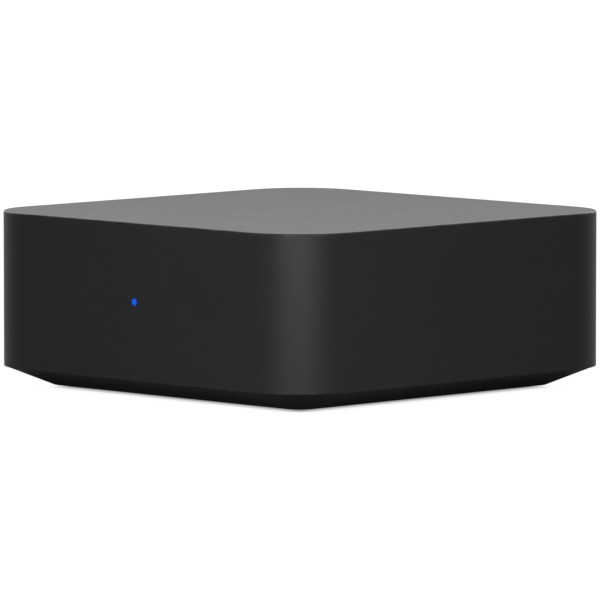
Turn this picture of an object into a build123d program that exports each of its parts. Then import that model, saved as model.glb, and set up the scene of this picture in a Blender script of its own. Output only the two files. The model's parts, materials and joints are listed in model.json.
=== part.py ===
from build123d import *
import math
import os

# A compact network music streamer, in millimetres.
# +Z is up, the front with its status light faces -Y, and the sockets face +Y.
# The origin is on the surface that the feet stand on, under the middle of the square casing.

os.makedirs("parts", exist_ok=True)

# Casing
side = 140.0
casing_height = 53.4
corner_radius = 20.6
top_edge_radius = 0.4
casing_wall = 2.5
roof_thickness = 2.5
wall_edge_height = 5.9
base_inset = 15.3
base_step = 0.8
foot_lift = 0.8
tray_floor = 2.4

# Tongue of the tray inside the casing's wall
tongue_gap = 0.15
tongue_thickness = 1.6
tongue_height = 2.6

# Feet
foot_radius = 5.5
foot_recess = 0.8
foot_gap = 0.1
foot_corner_gap = 7.2

# Bosses and screws that hold the casing together
boss_radius = 3.5
boss_side_gap = 0.65
boss_spacing_y = 64.0
post_radius = 4.5
case_screw_shank_radius = 1.5
case_screw_length = 16.0
case_screw_head_radius = 2.75
case_screw_head_height = 2.0
case_head_depth = 3.0
head_room = 0.35
screw_hole_gap = 0.15
thread_gap = 0.04
bore_spare_depth = 2.0
boss_rib_thickness = 1.5
boss_rib_height = 11.0

# Boards
board_thickness = 1.6
standoff_height = 7.8
standoff_radius = 3.0
board_edge_inset = 4.0
board_screw_setback = 26.0
board_gap = 2.0
power_board_width = 26.0
front_board_gap = 4.5
board_screw_shank_radius = 1.2
board_screw_length = 7.0
board_screw_head_radius = 2.3
board_screw_head_height = 1.6
driver_slot_width = 0.6
driver_slot_depth = 0.7

# Socket recess and its panel
recess_depth = 9.5
recess_wall = 2.0
recess_side_gap = 1.65
panel_thickness = 2.0
panel_lap = 1.5
panel_gap = 0.2
panel_corner_radius = 1.0
rail_gap = 0.1
rail_thickness = 1.5
rail_grip = 2.0
panel_screw_shank_radius = 1.1
panel_screw_length = 7.0
panel_screw_head_radius = 2.0
panel_screw_head_height = 1.4
socket_face_proud = 0.5
cutout_gap = 0.2
connector_gap = 2.0
plug_room = 6.8

# Mains inlet for a two-pin lead
inlet_width = 20.0
inlet_height = 13.0
inlet_depth = 22.0
inlet_slot_width = 16.2
inlet_slot_height = 8.8
inlet_slot_depth = 13.0
inlet_pin_radius = 1.2
inlet_pin_pitch = 8.6
inlet_pin_setback = 3.0
inlet_pin_root = 4.0

# Ethernet jack
jack_width = 16.0
jack_height = 13.5
jack_depth = 21.0
jack_shell_wall = 0.3
jack_insert_setback = 0.4
jack_slot_width = 11.9
jack_slot_height = 7.2
jack_slot_floor = 4.0
jack_slot_depth = 14.0
latch_width = 6.2
latch_drop = 2.4
jack_contact_count = 8
jack_contact_pitch = 1.02
jack_contact_width = 0.45
jack_contact_thickness = 0.3
jack_contact_length = 8.0
jack_contact_drop = 2.0

# Set-up button and its switch
button_field_width = 7.0
button_radius = 2.6
button_hole_gap = 0.2
button_proud = 0.8
button_flange_radius = 3.3
button_flange_thickness = 1.0
button_rest_gap = 0.2
button_stem_radius = 1.3
button_height_on_board = 4.6
button_travel = 0.4
switch_width = 6.6
switch_height = 8.0
switch_depth = 4.5
switch_setback = 5.5
plunger_radius = 1.5
plunger_gap = 0.05
plunger_proud = 0.6
plunger_root = 2.6

# Optical socket with its hinged shutter
optical_width = 9.7
optical_height = 10.4
optical_depth = 14.0
optical_slot_width = 7.4
optical_slot_height = 8.0
optical_slot_depth = 10.0
optical_lip = 0.6
optical_lip_overlap = 0.5
shutter_thickness = 0.8
shutter_side_gap = 0.25
shutter_face_gap = 0.1
shutter_foot_gap = 0.35
knuckle_radius = 0.9
knuckle_top_gap = 0.2
hinge_pin_radius = 0.5
hinge_pin_gap = 0.05
hinge_pin_root = 0.8
seat_gap = 0.02
emitter_size = 5.0
emitter_depth = 3.0
emitter_lens_radius = 1.2
emitter_lens_setback = 0.2

# Phono sockets
phono_width = 10.0
phono_height = 11.5
phono_depth = 12.0
phono_axis_height = 6.2
phono_pitch = 14.0
phono_sleeve_radius = 4.15
phono_sleeve_wall = 0.8
phono_sleeve_length = 8.5
phono_sleeve_root = 3.0
phono_root_step = 0.4
phono_insulator_setback = 0.3
phono_contact_radius = 2.1
phono_contact_bore = 1.65
phono_contact_setback = 1.2
phono_contact_slit = 0.4

# Status light
pipe_radius = 1.05
pipe_hole_gap = 0.05
pipe_bend_radius = 4.0
pipe_collar_radius = 2.0
pipe_collar_thickness = 1.2
led_width = 2.0
led_length = 1.6
led_height = 0.9
led_setback = 3.0
led_air_gap = 0.2

# Processor and its cooler
chip_size = 14.0
chip_thickness = 1.4
pad_thickness = 1.0
sink_size = 30.0
sink_base_thickness = 3.0
sink_height = 12.0
sink_fin_count = 9
sink_fin_thickness = 1.2
sink_pin_edge_x = 4.0
sink_pin_edge_y = 3.0
sink_pin_head_gap = 0.7
sink_pin_radius = 1.4
sink_pin_head_radius = 2.3
sink_pin_head_height = 1.5
sink_pin_barb = 1.0
sink_front_gap = 2.5

# Other pieces on the main board
memory_width = 8.0
memory_length = 12.0
memory_thickness = 1.1
memory_pitch = 14.0
memory_gap = 3.5
radio_width = 20.0
radio_length = 26.0
radio_board_thickness = 1.0
radio_shield_length = 19.0
radio_shield_height = 2.2
radio_shield_wall = 0.3
radio_edge_gap = 0.5
radio_x_share = 0.72
radio_front_gap = 6.0
aerial_socket_radius = 1.3
aerial_socket_height = 1.2
aerial_socket_pitch = 12.0
aerial_socket_inset = 3.0
aerial_plug_radius = 1.6
aerial_plug_height = 1.2
converter_size = 9.0
converter_thickness = 1.2
converter_x_share = 0.75
converter_gap = 2.0
audio_can_radius = 3.15
audio_can_height = 7.7
audio_can_pitch = 8.0
audio_can_gap = 2.0
crystal_width = 5.0
crystal_length = 3.2
crystal_height = 1.2
crystal_pitch = 14.0
crystal_shift = 2.5
magnetics_width = 12.0
magnetics_length = 8.0
magnetics_height = 6.0
magnetics_gap = 3.0
magnetics_shift = 4.0
inductor_size = 7.0
inductor_height = 4.0
inductor_pitch = 10.0
inductor_y_share = 0.45
link_width = 12.0
link_length = 12.0
link_height = 7.0
link_y_share = 0.637

# Pieces on the power board
fuse_width = 8.4
fuse_length = 4.0
fuse_height = 7.5
choke_width = 13.0
choke_length = 12.0
choke_height = 16.0
choke_limb = 3.5
rectifier_width = 12.0
rectifier_length = 4.0
rectifier_height = 9.0
bulk_can_radius = 6.25
bulk_can_height = 22.0
power_switch_width = 4.0
power_switch_length = 10.0
power_switch_height = 14.0
core_width = 20.0
core_length = 16.0
core_height = 17.0
core_leg = 4.0
winding_clearance = 0.3
output_can_radius = 4.0
output_can_height = 12.0
power_piece_gap = 2.0
can_groove_depth = 0.4
can_groove_height = 0.8
can_groove_lift = 2.0
can_top_bevel = 0.4

# Aerials and their leads
aerial_thickness = 0.8
aerial_length = 36.0
aerial_height = 12.0
aerial_y = -8.0
aerial_roof_gap = 7.7
lead_radius = 0.6
lead_bend_share = 0.45
lead_lane_setback = 5.0

# Every cut runs this far past the face that it opens
overrun = 1.0

# Levels and planes that the pieces share
half = side / 2
base_z = foot_lift
floor_z = base_z + tray_floor
edge_z = base_z + wall_edge_height
top_z = base_z + casing_height
roof_z = top_z - roof_thickness
board_z = floor_z + standoff_height
board_top_z = board_z + board_thickness
light_z = (edge_z + top_z) / 2

wall_y = half - casing_wall
panel_face_y = half - recess_depth
panel_back_y = panel_face_y - panel_thickness
socket_face_y = panel_face_y + socket_face_proud
board_rear_y = panel_back_y - panel_gap
main_front_y = -wall_y + front_board_gap
main_length = board_rear_y - main_front_y

# The widths of the sockets set the width of the main board, and that of both boards
socket_widths = [jack_width, button_field_width, optical_width, phono_width, phono_width]
main_width = sum(socket_widths) + connector_gap * (len(socket_widths) + 1)
boards_width = power_board_width + board_gap + main_width
power_left_x = -boards_width / 2
power_right_x = power_left_x + power_board_width
main_left_x = power_right_x + board_gap
main_right_x = boards_width / 2
power_x = (power_left_x + power_right_x) / 2


def socket_x(index):
    """Middle of a socket, counted from the left edge of the main board."""
    before = sum(socket_widths[:index]) + connector_gap * (index + 1)
    return main_left_x + before + socket_widths[index] / 2


jack_x, button_x, optical_x, coax_x, line_out_x = [socket_x(index) for index in range(len(socket_widths))]

phono_z = board_top_z + phono_axis_height
recess_low_z = phono_z - plug_room
recess_high_z = phono_z + phono_pitch + plug_room
recess_width = boards_width + 2 * recess_side_gap
panel_screw_place = (line_out_x, phono_z + phono_pitch / 2)
panel_width = recess_width + 2 * panel_lap
rail_outer_x = panel_width / 2 + rail_gap + rail_thickness

boss_x = boards_width / 2 + boss_side_gap + boss_radius
boss_places = [(x, y) for x in (-boss_x, boss_x) for y in (-boss_spacing_y / 2, boss_spacing_y / 2)]
case_seat_z = base_z + case_head_depth
foot_place = half - base_inset - foot_corner_gap - foot_radius
foot_places = [(x, y) for x in (-foot_place, foot_place) for y in (-foot_place, foot_place)]

front_screw_y = base_inset - half
rear_screw_y = board_rear_y - board_screw_setback
main_screw_xs = (main_left_x + board_edge_inset, main_right_x - board_edge_inset)
main_screw_places = [(x, y) for x in main_screw_xs for y in (front_screw_y, rear_screw_y)]
power_screw_xs = (power_left_x + board_edge_inset, power_right_x - board_edge_inset)
power_screw_places = [(x, y) for x in power_screw_xs for y in (front_screw_y, rear_screw_y)]


# Shared shapes
def around(middle, width):
    """The span of a width about its middle."""
    return (middle - width / 2, middle + width / 2)


def slab(x_span, y_span, z_span, mode=Mode.ADD):
    """A block that fills three spans."""
    spans = (x_span, y_span, z_span)
    middle = tuple((low + high) / 2 for low, high in spans)
    with Locations(middle):
        Box(*(high - low for low, high in spans), mode=mode)


def upright(place, radius, z_span, mode=Mode.ADD):
    """A round bar along Z at a place in plan."""
    with Locations((*place, sum(z_span) / 2)):
        Cylinder(radius, z_span[1] - z_span[0], mode=mode)


def lengthwise(place, radius, y_span, mode=Mode.ADD):
    """A round bar along Y, at a place seen from the rear as x and z."""
    with Locations((place[0], sum(y_span) / 2, place[1])):
        Cylinder(radius, y_span[1] - y_span[0], rotation=(90, 0, 0), mode=mode)


def crosswise(place, radius, x_span, mode=Mode.ADD):
    """A round bar along X, at a place seen from the side as y and z."""
    with Locations((sum(x_span) / 2, *place)):
        Cylinder(radius, x_span[1] - x_span[0], rotation=(0, 90, 0), mode=mode)


def rounded_square(inset, mode=Mode.ADD):
    """The casing's outline in plan, moved inwards by an inset."""
    RectangleRounded(side - 2 * inset, side - 2 * inset, corner_radius - inset, mode=mode)


def taper_inset(height):
    """How far the tapered base stands in at a height over its flat bottom."""
    return base_inset - (base_inset - base_step) * height / wall_edge_height


def save(builder, node):
    """Name a finished piece and write its file."""
    builder.part.label = node
    export_step(builder.part, f"parts/{node}.step")


def chip(node, places, width, length, height, low_z, bevel):
    """Flat packages of one size, each with a bevelled top."""
    with BuildPart() as chips:
        for place in places:
            slab(around(place[0], width), around(place[1], length), (low_z, low_z + height))
        chamfer(chips.faces().filter_by(Axis.Z).group_by(Axis.Z)[-1].edges(), bevel)
    save(chips, node)


def cans(node, places, radius, height):
    """Upright capacitors with the rolled groove of an aluminium can."""
    groove_z = board_top_z + can_groove_lift
    with BuildPart() as group:
        for place in places:
            upright(place, radius, (board_top_z, groove_z))
            upright(place, radius - can_groove_depth, (groove_z, groove_z + can_groove_height))
            upright(place, radius, (groove_z + can_groove_height, board_top_z + height))
        chamfer(group.edges().filter_by(GeomType.CIRCLE).group_by(Axis.Z)[-1], can_top_bevel)
    save(group, node)


# Base tray: the tapered underside, with the posts that carry the boards
with BuildPart() as base_tray:
    with BuildSketch(Plane.XY.offset(base_z)):
        rounded_square(base_inset)
    with BuildSketch(Plane.XY.offset(edge_z)):
        rounded_square(base_step)
    loft(ruled=True)
    with BuildSketch(Plane.XY.offset(floor_z)):
        rounded_square(base_inset)
    with BuildSketch(Plane.XY.offset(edge_z)):
        rounded_square(taper_inset(wall_edge_height - tray_floor))
    loft(ruled=True, mode=Mode.SUBTRACT)
    with BuildSketch(Plane.XY.offset(edge_z)):
        rounded_square(casing_wall + tongue_gap)
        rounded_square(casing_wall + tongue_gap + tongue_thickness, mode=Mode.SUBTRACT)
    extrude(amount=tongue_height)
    for place in boss_places:
        upright(place, post_radius, (floor_z, board_z))
        upright(place, case_screw_shank_radius + screw_hole_gap, (base_z, board_z + overrun), Mode.SUBTRACT)
        upright(place, case_screw_head_radius + head_room, (base_z - overrun, case_seat_z), Mode.SUBTRACT)
    for place in main_screw_places + power_screw_places:
        upright(place, standoff_radius, (floor_z, board_z))
        upright(place, board_screw_shank_radius + thread_gap, (floor_z, board_z + overrun), Mode.SUBTRACT)
    for place in foot_places:
        upright(place, foot_radius + foot_gap, (base_z - overrun, base_z + foot_recess), Mode.SUBTRACT)
save(base_tray, "base_tray")

# Rubber feet, glued into round recesses near the corners
with BuildPart() as feet:
    for place in foot_places:
        upright(place, foot_radius, (0, base_z + foot_recess))
save(feet, "rubber_feet")

# Top shell: the roof and the four walls, moulded as one piece
with BuildPart() as top_shell:
    with BuildSketch(Plane.XY.offset(edge_z)):
        rounded_square(0)
    extrude(amount=top_z - edge_z)
    fillet(top_shell.faces().sort_by(Axis.Z)[-1].edges(), top_edge_radius)
    with BuildSketch(Plane.XY.offset(edge_z)):
        rounded_square(casing_wall)
    extrude(amount=roof_z - edge_z, mode=Mode.SUBTRACT)
    for place in boss_places:
        outward = math.copysign(wall_y, place[0])
        rib_span = sorted((place[0], outward))
        slab(rib_span, around(place[1], boss_rib_thickness), (roof_z - boss_rib_height, roof_z))
        upright(place, boss_radius, (board_z, roof_z))
        bore_top_z = case_seat_z + case_screw_length + bore_spare_depth
        upright(place, case_screw_shank_radius + thread_gap, (board_z - overrun, bore_top_z), Mode.SUBTRACT)
    with BuildSketch(Plane.XY.offset(recess_low_z - recess_wall)):
        rounded_square(casing_wall / 2)
        with Locations((0, (panel_face_y + half) / 2)):
            Rectangle(recess_width + 2 * recess_wall, half - panel_face_y, mode=Mode.INTERSECT)
    extrude(amount=recess_high_z - recess_low_z + 2 * recess_wall)
    slab(
        around(0, recess_width),
        (panel_face_y - overrun, half + overrun),
        (recess_low_z, recess_high_z),
        Mode.SUBTRACT,
    )
    # Two rails grip the panel's side edges against the recess
    rail_z_span = (recess_low_z - recess_wall, recess_high_z + recess_wall)
    rail_back_y = panel_back_y - rail_gap - rail_thickness
    for sign in (-1, 1):
        rail_x_span = sorted((sign * (rail_outer_x - rail_thickness), sign * rail_outer_x))
        lip_x_span = sorted((sign * recess_width / 2, sign * rail_outer_x))
        slab(rail_x_span, (rail_back_y, panel_face_y + rail_grip), rail_z_span)
        slab(lip_x_span, (rail_back_y, rail_back_y + rail_thickness), rail_z_span)
    light_hole_span = (-half - overrun, -wall_y + overrun)
    lengthwise((0, light_z), pipe_radius + pipe_hole_gap, light_hole_span, Mode.SUBTRACT)
save(top_shell, "top_shell")

# Levels of the sockets' middles above the boards
inlet_z = board_top_z + inlet_height / 2
jack_z = board_top_z + jack_height / 2
button_z = board_top_z + button_height_on_board
optical_z = board_top_z + optical_height / 2
upper_phono_z = phono_z + phono_pitch

# Rear panel: the plate at the bottom of the recess, with a cutout for each socket
with BuildPart() as rear_panel:
    panel_z_span = (recess_low_z - panel_lap, recess_high_z + panel_lap)
    slab(around(0, panel_width), (panel_back_y, panel_face_y), panel_z_span)
    fillet(rear_panel.edges().filter_by(Axis.Y), panel_corner_radius)
    cutout_span = (panel_back_y - overrun, panel_face_y + overrun)
    for x, z, width, height in (
        (power_x, inlet_z, inlet_width, inlet_height),
        (jack_x, jack_z, jack_width, jack_height),
        (optical_x, optical_z, optical_width, optical_height),
    ):
        cutout_x_span = around(x, width + 2 * cutout_gap)
        slab(cutout_x_span, cutout_span, around(z, height + 2 * cutout_gap), Mode.SUBTRACT)
    for place in ((coax_x, phono_z), (line_out_x, phono_z), (line_out_x, upper_phono_z)):
        lengthwise(place, phono_sleeve_radius + cutout_gap, cutout_span, Mode.SUBTRACT)
    lengthwise((button_x, button_z), button_radius + button_hole_gap, cutout_span, Mode.SUBTRACT)
    lengthwise(panel_screw_place, panel_screw_shank_radius + screw_hole_gap, cutout_span, Mode.SUBTRACT)
save(rear_panel, "rear_panel")


# Screws with a cross slot, all of one kind in one node
def cross_slot(place, head_radius, z_span):
    """Two crossed slots cut into an upright screw's head."""
    for width, length in ((driver_slot_width, 2 * head_radius), (2 * head_radius, driver_slot_width)):
        reach_x = min(width, head_radius)
        reach_y = min(length, head_radius)
        slab(around(place[0], reach_x), around(place[1], reach_y), z_span, Mode.SUBTRACT)


with BuildPart() as case_screws:
    for place in boss_places:
        head_low_z = case_seat_z - case_screw_head_height
        upright(place, case_screw_head_radius, (head_low_z, case_seat_z))
        upright(place, case_screw_shank_radius, (case_seat_z, case_seat_z + case_screw_length))
        cross_slot(place, case_screw_head_radius, (head_low_z, head_low_z + driver_slot_depth))
save(case_screws, "case_screws")

with BuildPart() as board_screws:
    for place in main_screw_places + power_screw_places:
        head_top_z = board_top_z + board_screw_head_height
        upright(place, board_screw_head_radius, (board_top_z, head_top_z))
        upright(place, board_screw_shank_radius, (board_top_z - board_screw_length, board_top_z))
        cross_slot(place, board_screw_head_radius, (head_top_z - driver_slot_depth, head_top_z))
save(board_screws, "board_screws")

# The one screw that pulls the panel against the phono block, driven from outside
with BuildPart() as panel_screw:
    head_face_y = panel_face_y + panel_screw_head_height
    lengthwise(panel_screw_place, panel_screw_head_radius, (panel_face_y, head_face_y))
    lengthwise(panel_screw_place, panel_screw_shank_radius, (panel_face_y - panel_screw_length, panel_face_y))
    slot_y_span = (head_face_y - driver_slot_depth, head_face_y)
    for width, height in ((driver_slot_width, panel_screw_head_radius), (panel_screw_head_radius, driver_slot_width)):
        slot_x_span = around(panel_screw_place[0], width)
        slab(slot_x_span, slot_y_span, around(panel_screw_place[1], height), Mode.SUBTRACT)
save(panel_screw, "panel_screw")

# Places of the larger pieces on the main board
main_x = (main_left_x + main_right_x) / 2
radio_front_y = main_front_y + radio_front_gap
radio_rear_y = radio_front_y + radio_length
sink_y = radio_rear_y + sink_front_gap + sink_size / 2
sink_rear_y = sink_y + sink_size / 2
sink_pin_x = sink_size / 2 - sink_pin_edge_x
sink_pin_y = sink_size / 2 - sink_pin_edge_y
sink_pin_places = [(main_x - sink_pin_x, sink_y - sink_pin_y), (main_x + sink_pin_x, sink_y + sink_pin_y)]
sink_fin_length = 2 * (sink_pin_y - sink_pin_head_radius - sink_pin_head_gap)


# Boards: two plates side by side, the mains side on the left and the music side on the right
def board(node, x_span, y_span, screw_places, pin_places):
    """A circuit board with clearance holes for its screws and pins."""
    with BuildPart() as plate:
        slab(x_span, y_span, (board_z, board_top_z))
        hole_span = (board_z - overrun, board_top_z + overrun)
        for place in screw_places:
            upright(place, board_screw_shank_radius + screw_hole_gap, hole_span, Mode.SUBTRACT)
        for place in pin_places:
            upright(place, sink_pin_radius + seat_gap, hole_span, Mode.SUBTRACT)
    save(plate, node)


board("main_board", (main_left_x, main_right_x), (main_front_y, board_rear_y), main_screw_places, sink_pin_places)
board("power_board", (power_left_x, power_right_x), (main_front_y, board_rear_y), power_screw_places, [])

# Mains inlet: a moulded socket with a stadium-shaped well and two round pins
inlet_back_y = socket_face_y - inlet_depth
well_back_y = socket_face_y - inlet_slot_depth
with BuildPart() as inlet_housing:
    slab(around(power_x, inlet_width), (inlet_back_y, socket_face_y), (board_top_z, board_top_z + inlet_height))
    with BuildSketch(Plane((power_x, socket_face_y, inlet_z), x_dir=(1, 0, 0), z_dir=(0, -1, 0))):
        SlotOverall(inlet_slot_width, inlet_slot_height)
    extrude(amount=inlet_slot_depth, mode=Mode.SUBTRACT)
    for x in around(power_x, inlet_pin_pitch):
        pin_hole_span = (well_back_y - inlet_pin_root, well_back_y + overrun)
        lengthwise((x, inlet_z), inlet_pin_radius + seat_gap, pin_hole_span, Mode.SUBTRACT)
save(inlet_housing, "inlet_housing")

with BuildPart() as inlet_pins:
    for x in around(power_x, inlet_pin_pitch):
        pin_span = (well_back_y - inlet_pin_root, socket_face_y - inlet_pin_setback)
        lengthwise((x, inlet_z), inlet_pin_radius, pin_span)
    fillet(inlet_pins.edges().filter_by(GeomType.CIRCLE).group_by(Axis.Y)[-1], inlet_pin_radius / 2)
save(inlet_pins, "inlet_pins")

# Ethernet jack: a folded metal shell, a moulded insert with the plug's well, and its contacts
jack_back_y = socket_face_y - jack_depth
insert_face_y = socket_face_y - jack_insert_setback
jack_well_z = board_top_z + jack_slot_floor
jack_well_top_z = jack_well_z + jack_slot_height
jack_well_back_y = insert_face_y - jack_slot_depth
with BuildPart() as ethernet_shell:
    slab(around(jack_x, jack_width), (jack_back_y, socket_face_y), (board_top_z, board_top_z + jack_height))
    slab(
        around(jack_x, jack_width - 2 * jack_shell_wall),
        (jack_back_y + jack_shell_wall, socket_face_y + overrun),
        (board_top_z - overrun, board_top_z + jack_height - jack_shell_wall),
        Mode.SUBTRACT,
    )
save(ethernet_shell, "ethernet_shell")

with BuildPart() as ethernet_insert:
    slab(
        around(jack_x, jack_width - 2 * jack_shell_wall),
        (jack_back_y + jack_shell_wall, insert_face_y),
        (board_top_z, board_top_z + jack_height - jack_shell_wall),
    )
    well_span = (jack_well_back_y, insert_face_y + overrun)
    slab(around(jack_x, jack_slot_width), well_span, (jack_well_z, jack_well_top_z), Mode.SUBTRACT)
    slab(around(jack_x, latch_width), well_span, (jack_well_z - latch_drop, jack_well_z), Mode.SUBTRACT)
save(ethernet_insert, "ethernet_insert")

with BuildPart() as ethernet_contacts:
    contact_root_y = jack_well_back_y
    contact_tip_y = contact_root_y + jack_contact_length
    root_z = jack_well_top_z - jack_contact_drop
    for index in range(jack_contact_count):
        x = jack_x + (index - (jack_contact_count - 1) / 2) * jack_contact_pitch
        with BuildSketch(Plane((x - jack_contact_width / 2, 0, 0), x_dir=(0, 1, 0), z_dir=(1, 0, 0))):
            with BuildLine():
                Polyline(
                    (contact_root_y, root_z),
                    (contact_root_y, root_z + jack_contact_thickness),
                    (contact_tip_y, jack_well_top_z),
                    (contact_tip_y, jack_well_top_z - jack_contact_thickness),
                    close=True,
                )
            make_face()
        extrude(amount=jack_contact_width)
save(ethernet_contacts, "ethernet_contacts")

# Set-up button: a cap with a flange behind the panel, and the switch that it presses
cap_face_y = panel_face_y + button_proud
flange_face_y = panel_back_y - button_rest_gap
switch_face_y = panel_back_y - switch_setback
plunger_face_y = switch_face_y + plunger_proud
button_place = (button_x, button_z)
with BuildPart() as button_cap:
    lengthwise(button_place, button_radius, (flange_face_y, cap_face_y))
    chamfer(button_cap.edges().filter_by(GeomType.CIRCLE).group_by(Axis.Y)[-1], button_hole_gap)
    flange_back_y = flange_face_y - button_flange_thickness
    lengthwise(button_place, button_flange_radius, (flange_back_y, flange_face_y))
    lengthwise(button_place, button_stem_radius, (plunger_face_y, flange_back_y))
save(button_cap, "button_cap")

with BuildPart() as button_plunger:
    lengthwise(button_place, plunger_radius, (switch_face_y - plunger_root, plunger_face_y))
save(button_plunger, "button_plunger")

with BuildPart() as button_switch:
    switch_y_span = (switch_face_y - switch_depth, switch_face_y)
    slab(around(button_x, switch_width), switch_y_span, (board_top_z, board_top_z + switch_height))
    plunger_well_y = switch_face_y - plunger_root - button_travel - plunger_gap
    plunger_bore_span = (plunger_well_y, switch_face_y + overrun)
    lengthwise(button_place, plunger_radius + plunger_gap, plunger_bore_span, Mode.SUBTRACT)
save(button_switch, "button_switch")

# Optical socket: a square well with a shutter that hinges inwards from its ceiling
optical_back_y = socket_face_y - optical_depth
optical_well_back_y = socket_face_y - optical_slot_depth
lip_back_y = socket_face_y - optical_lip
ceiling_z = optical_z + optical_slot_height / 2
sill_z = optical_z - optical_slot_height / 2
hinge_y = lip_back_y - shutter_face_gap - knuckle_radius
hinge_z = ceiling_z - knuckle_top_gap - knuckle_radius
pin_half_length = optical_slot_width / 2 + hinge_pin_root
with BuildPart() as optical_housing:
    housing_z_span = (board_top_z, board_top_z + optical_height)
    slab(around(optical_x, optical_width), (optical_back_y, socket_face_y), housing_z_span)
    slab(around(optical_x, optical_slot_width), (optical_well_back_y, lip_back_y), (sill_z, ceiling_z), Mode.SUBTRACT)
    mouth_x_span = around(optical_x, optical_slot_width - 2 * optical_lip_overlap)
    mouth_z_span = (sill_z + optical_lip_overlap, ceiling_z - optical_lip_overlap)
    slab(mouth_x_span, (lip_back_y - overrun, socket_face_y + overrun), mouth_z_span, Mode.SUBTRACT)
    pin_bore_span = around(optical_x, 2 * (pin_half_length + seat_gap))
    crosswise((hinge_y, hinge_z), hinge_pin_radius + seat_gap, pin_bore_span, Mode.SUBTRACT)
    lens_bore_span = (optical_back_y - overrun, optical_well_back_y + overrun)
    lengthwise((optical_x, optical_z), emitter_lens_radius + seat_gap, lens_bore_span, Mode.SUBTRACT)
save(optical_housing, "optical_housing")

with BuildPart() as optical_shutter:
    shutter_span = around(optical_x, optical_slot_width - 2 * shutter_side_gap)
    shutter_face_y = lip_back_y - shutter_face_gap
    crosswise((hinge_y, hinge_z), knuckle_radius, shutter_span)
    slab(shutter_span, (shutter_face_y - shutter_thickness, shutter_face_y), (sill_z + shutter_foot_gap, hinge_z))
    crosswise((hinge_y, hinge_z), hinge_pin_radius + hinge_pin_gap, around(optical_x, optical_width), Mode.SUBTRACT)
save(optical_shutter, "optical_shutter")

with BuildPart() as shutter_pin:
    crosswise((hinge_y, hinge_z), hinge_pin_radius, around(optical_x, 2 * pin_half_length))
save(shutter_pin, "shutter_pin")

with BuildPart() as optical_emitter:
    emitter_span = (optical_back_y - emitter_depth, optical_back_y)
    slab(around(optical_x, emitter_size), emitter_span, around(optical_z, emitter_size))
    lens_face_y = optical_well_back_y - emitter_lens_setback
    lengthwise((optical_x, optical_z), emitter_lens_radius, (optical_back_y, lens_face_y))
save(optical_emitter, "optical_emitter")

# Phono sockets: a moulded block, a plated sleeve, a coloured insulator and a split centre contact
sleeve_face_y = panel_face_y + phono_sleeve_length
sleeve_back_y = panel_back_y - phono_sleeve_root
insulator_radius = phono_sleeve_radius - phono_sleeve_wall - seat_gap
insulator_face_y = sleeve_face_y - phono_insulator_setback
contact_face_y = insulator_face_y - phono_contact_setback


def phono_block(node, x, levels, screw_places):
    """The moulded block behind one socket or a stack of them, with a bore for any panel screw."""
    with BuildPart() as block:
        top = levels[-1] - phono_axis_height + phono_height
        slab(around(x, phono_width), (panel_back_y - phono_depth, panel_back_y), (board_top_z, top))
        for z in levels:
            bore_span = (sleeve_back_y, panel_back_y + overrun)
            root_radius = phono_sleeve_radius - phono_root_step
            lengthwise((x, z), root_radius + seat_gap, bore_span, Mode.SUBTRACT)
        screw_end_y = panel_face_y - panel_screw_length - bore_spare_depth / 2
        for place in screw_places:
            screw_bore_span = (screw_end_y, panel_back_y + overrun)
            lengthwise(place, panel_screw_shank_radius + thread_gap, screw_bore_span, Mode.SUBTRACT)
    save(block, node)


def phono_sleeves(node, x, levels):
    """The plated tubes that a plug's shell slides over, each with a slimmer root in its block."""
    with BuildPart() as sleeves:
        for z in levels:
            lengthwise((x, z), phono_sleeve_radius - phono_root_step, (sleeve_back_y, panel_face_y))
            lengthwise((x, z), phono_sleeve_radius, (panel_face_y, sleeve_face_y))
            sleeve_bore_span = (sleeve_back_y - overrun, sleeve_face_y + overrun)
            lengthwise((x, z), phono_sleeve_radius - phono_sleeve_wall, sleeve_bore_span, Mode.SUBTRACT)
    save(sleeves, node)


def phono_insulator(node, x, z):
    """The coloured ring between a sleeve and its centre contact."""
    with BuildPart() as ring:
        lengthwise((x, z), insulator_radius, (sleeve_back_y, insulator_face_y))
        ring_bore_span = (sleeve_back_y - overrun, insulator_face_y + overrun)
        lengthwise((x, z), phono_contact_radius + seat_gap, ring_bore_span, Mode.SUBTRACT)
    save(ring, node)


def phono_contacts(node, x, levels):
    """The split tubes that grip a plug's centre pin."""
    with BuildPart() as contacts:
        for z in levels:
            contact_span = (sleeve_back_y, contact_face_y)
            lengthwise((x, z), phono_contact_radius, contact_span)
            well_bottom_y = sleeve_back_y + phono_sleeve_root
            lengthwise((x, z), phono_contact_bore, (well_bottom_y, contact_face_y + overrun), Mode.SUBTRACT)
            slit_y_span = (well_bottom_y, contact_face_y + overrun)
            slit_z_span = around(z, 2 * (phono_contact_radius + overrun))
            slab(around(x, phono_contact_slit), slit_y_span, slit_z_span, Mode.SUBTRACT)
    save(contacts, node)


line_out_levels = [phono_z, upper_phono_z]
phono_block("coax_block", coax_x, [phono_z], [])
phono_sleeves("coax_sleeve", coax_x, [phono_z])
phono_insulator("coax_insulator", coax_x, phono_z)
phono_contacts("coax_contact", coax_x, [phono_z])
phono_block("line_out_block", line_out_x, line_out_levels, [panel_screw_place])
phono_sleeves("line_out_sleeves", line_out_x, line_out_levels)
phono_insulator("right_insulator", line_out_x, phono_z)
phono_insulator("left_insulator", line_out_x, upper_phono_z)
phono_contacts("line_out_contacts", line_out_x, line_out_levels)

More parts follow.
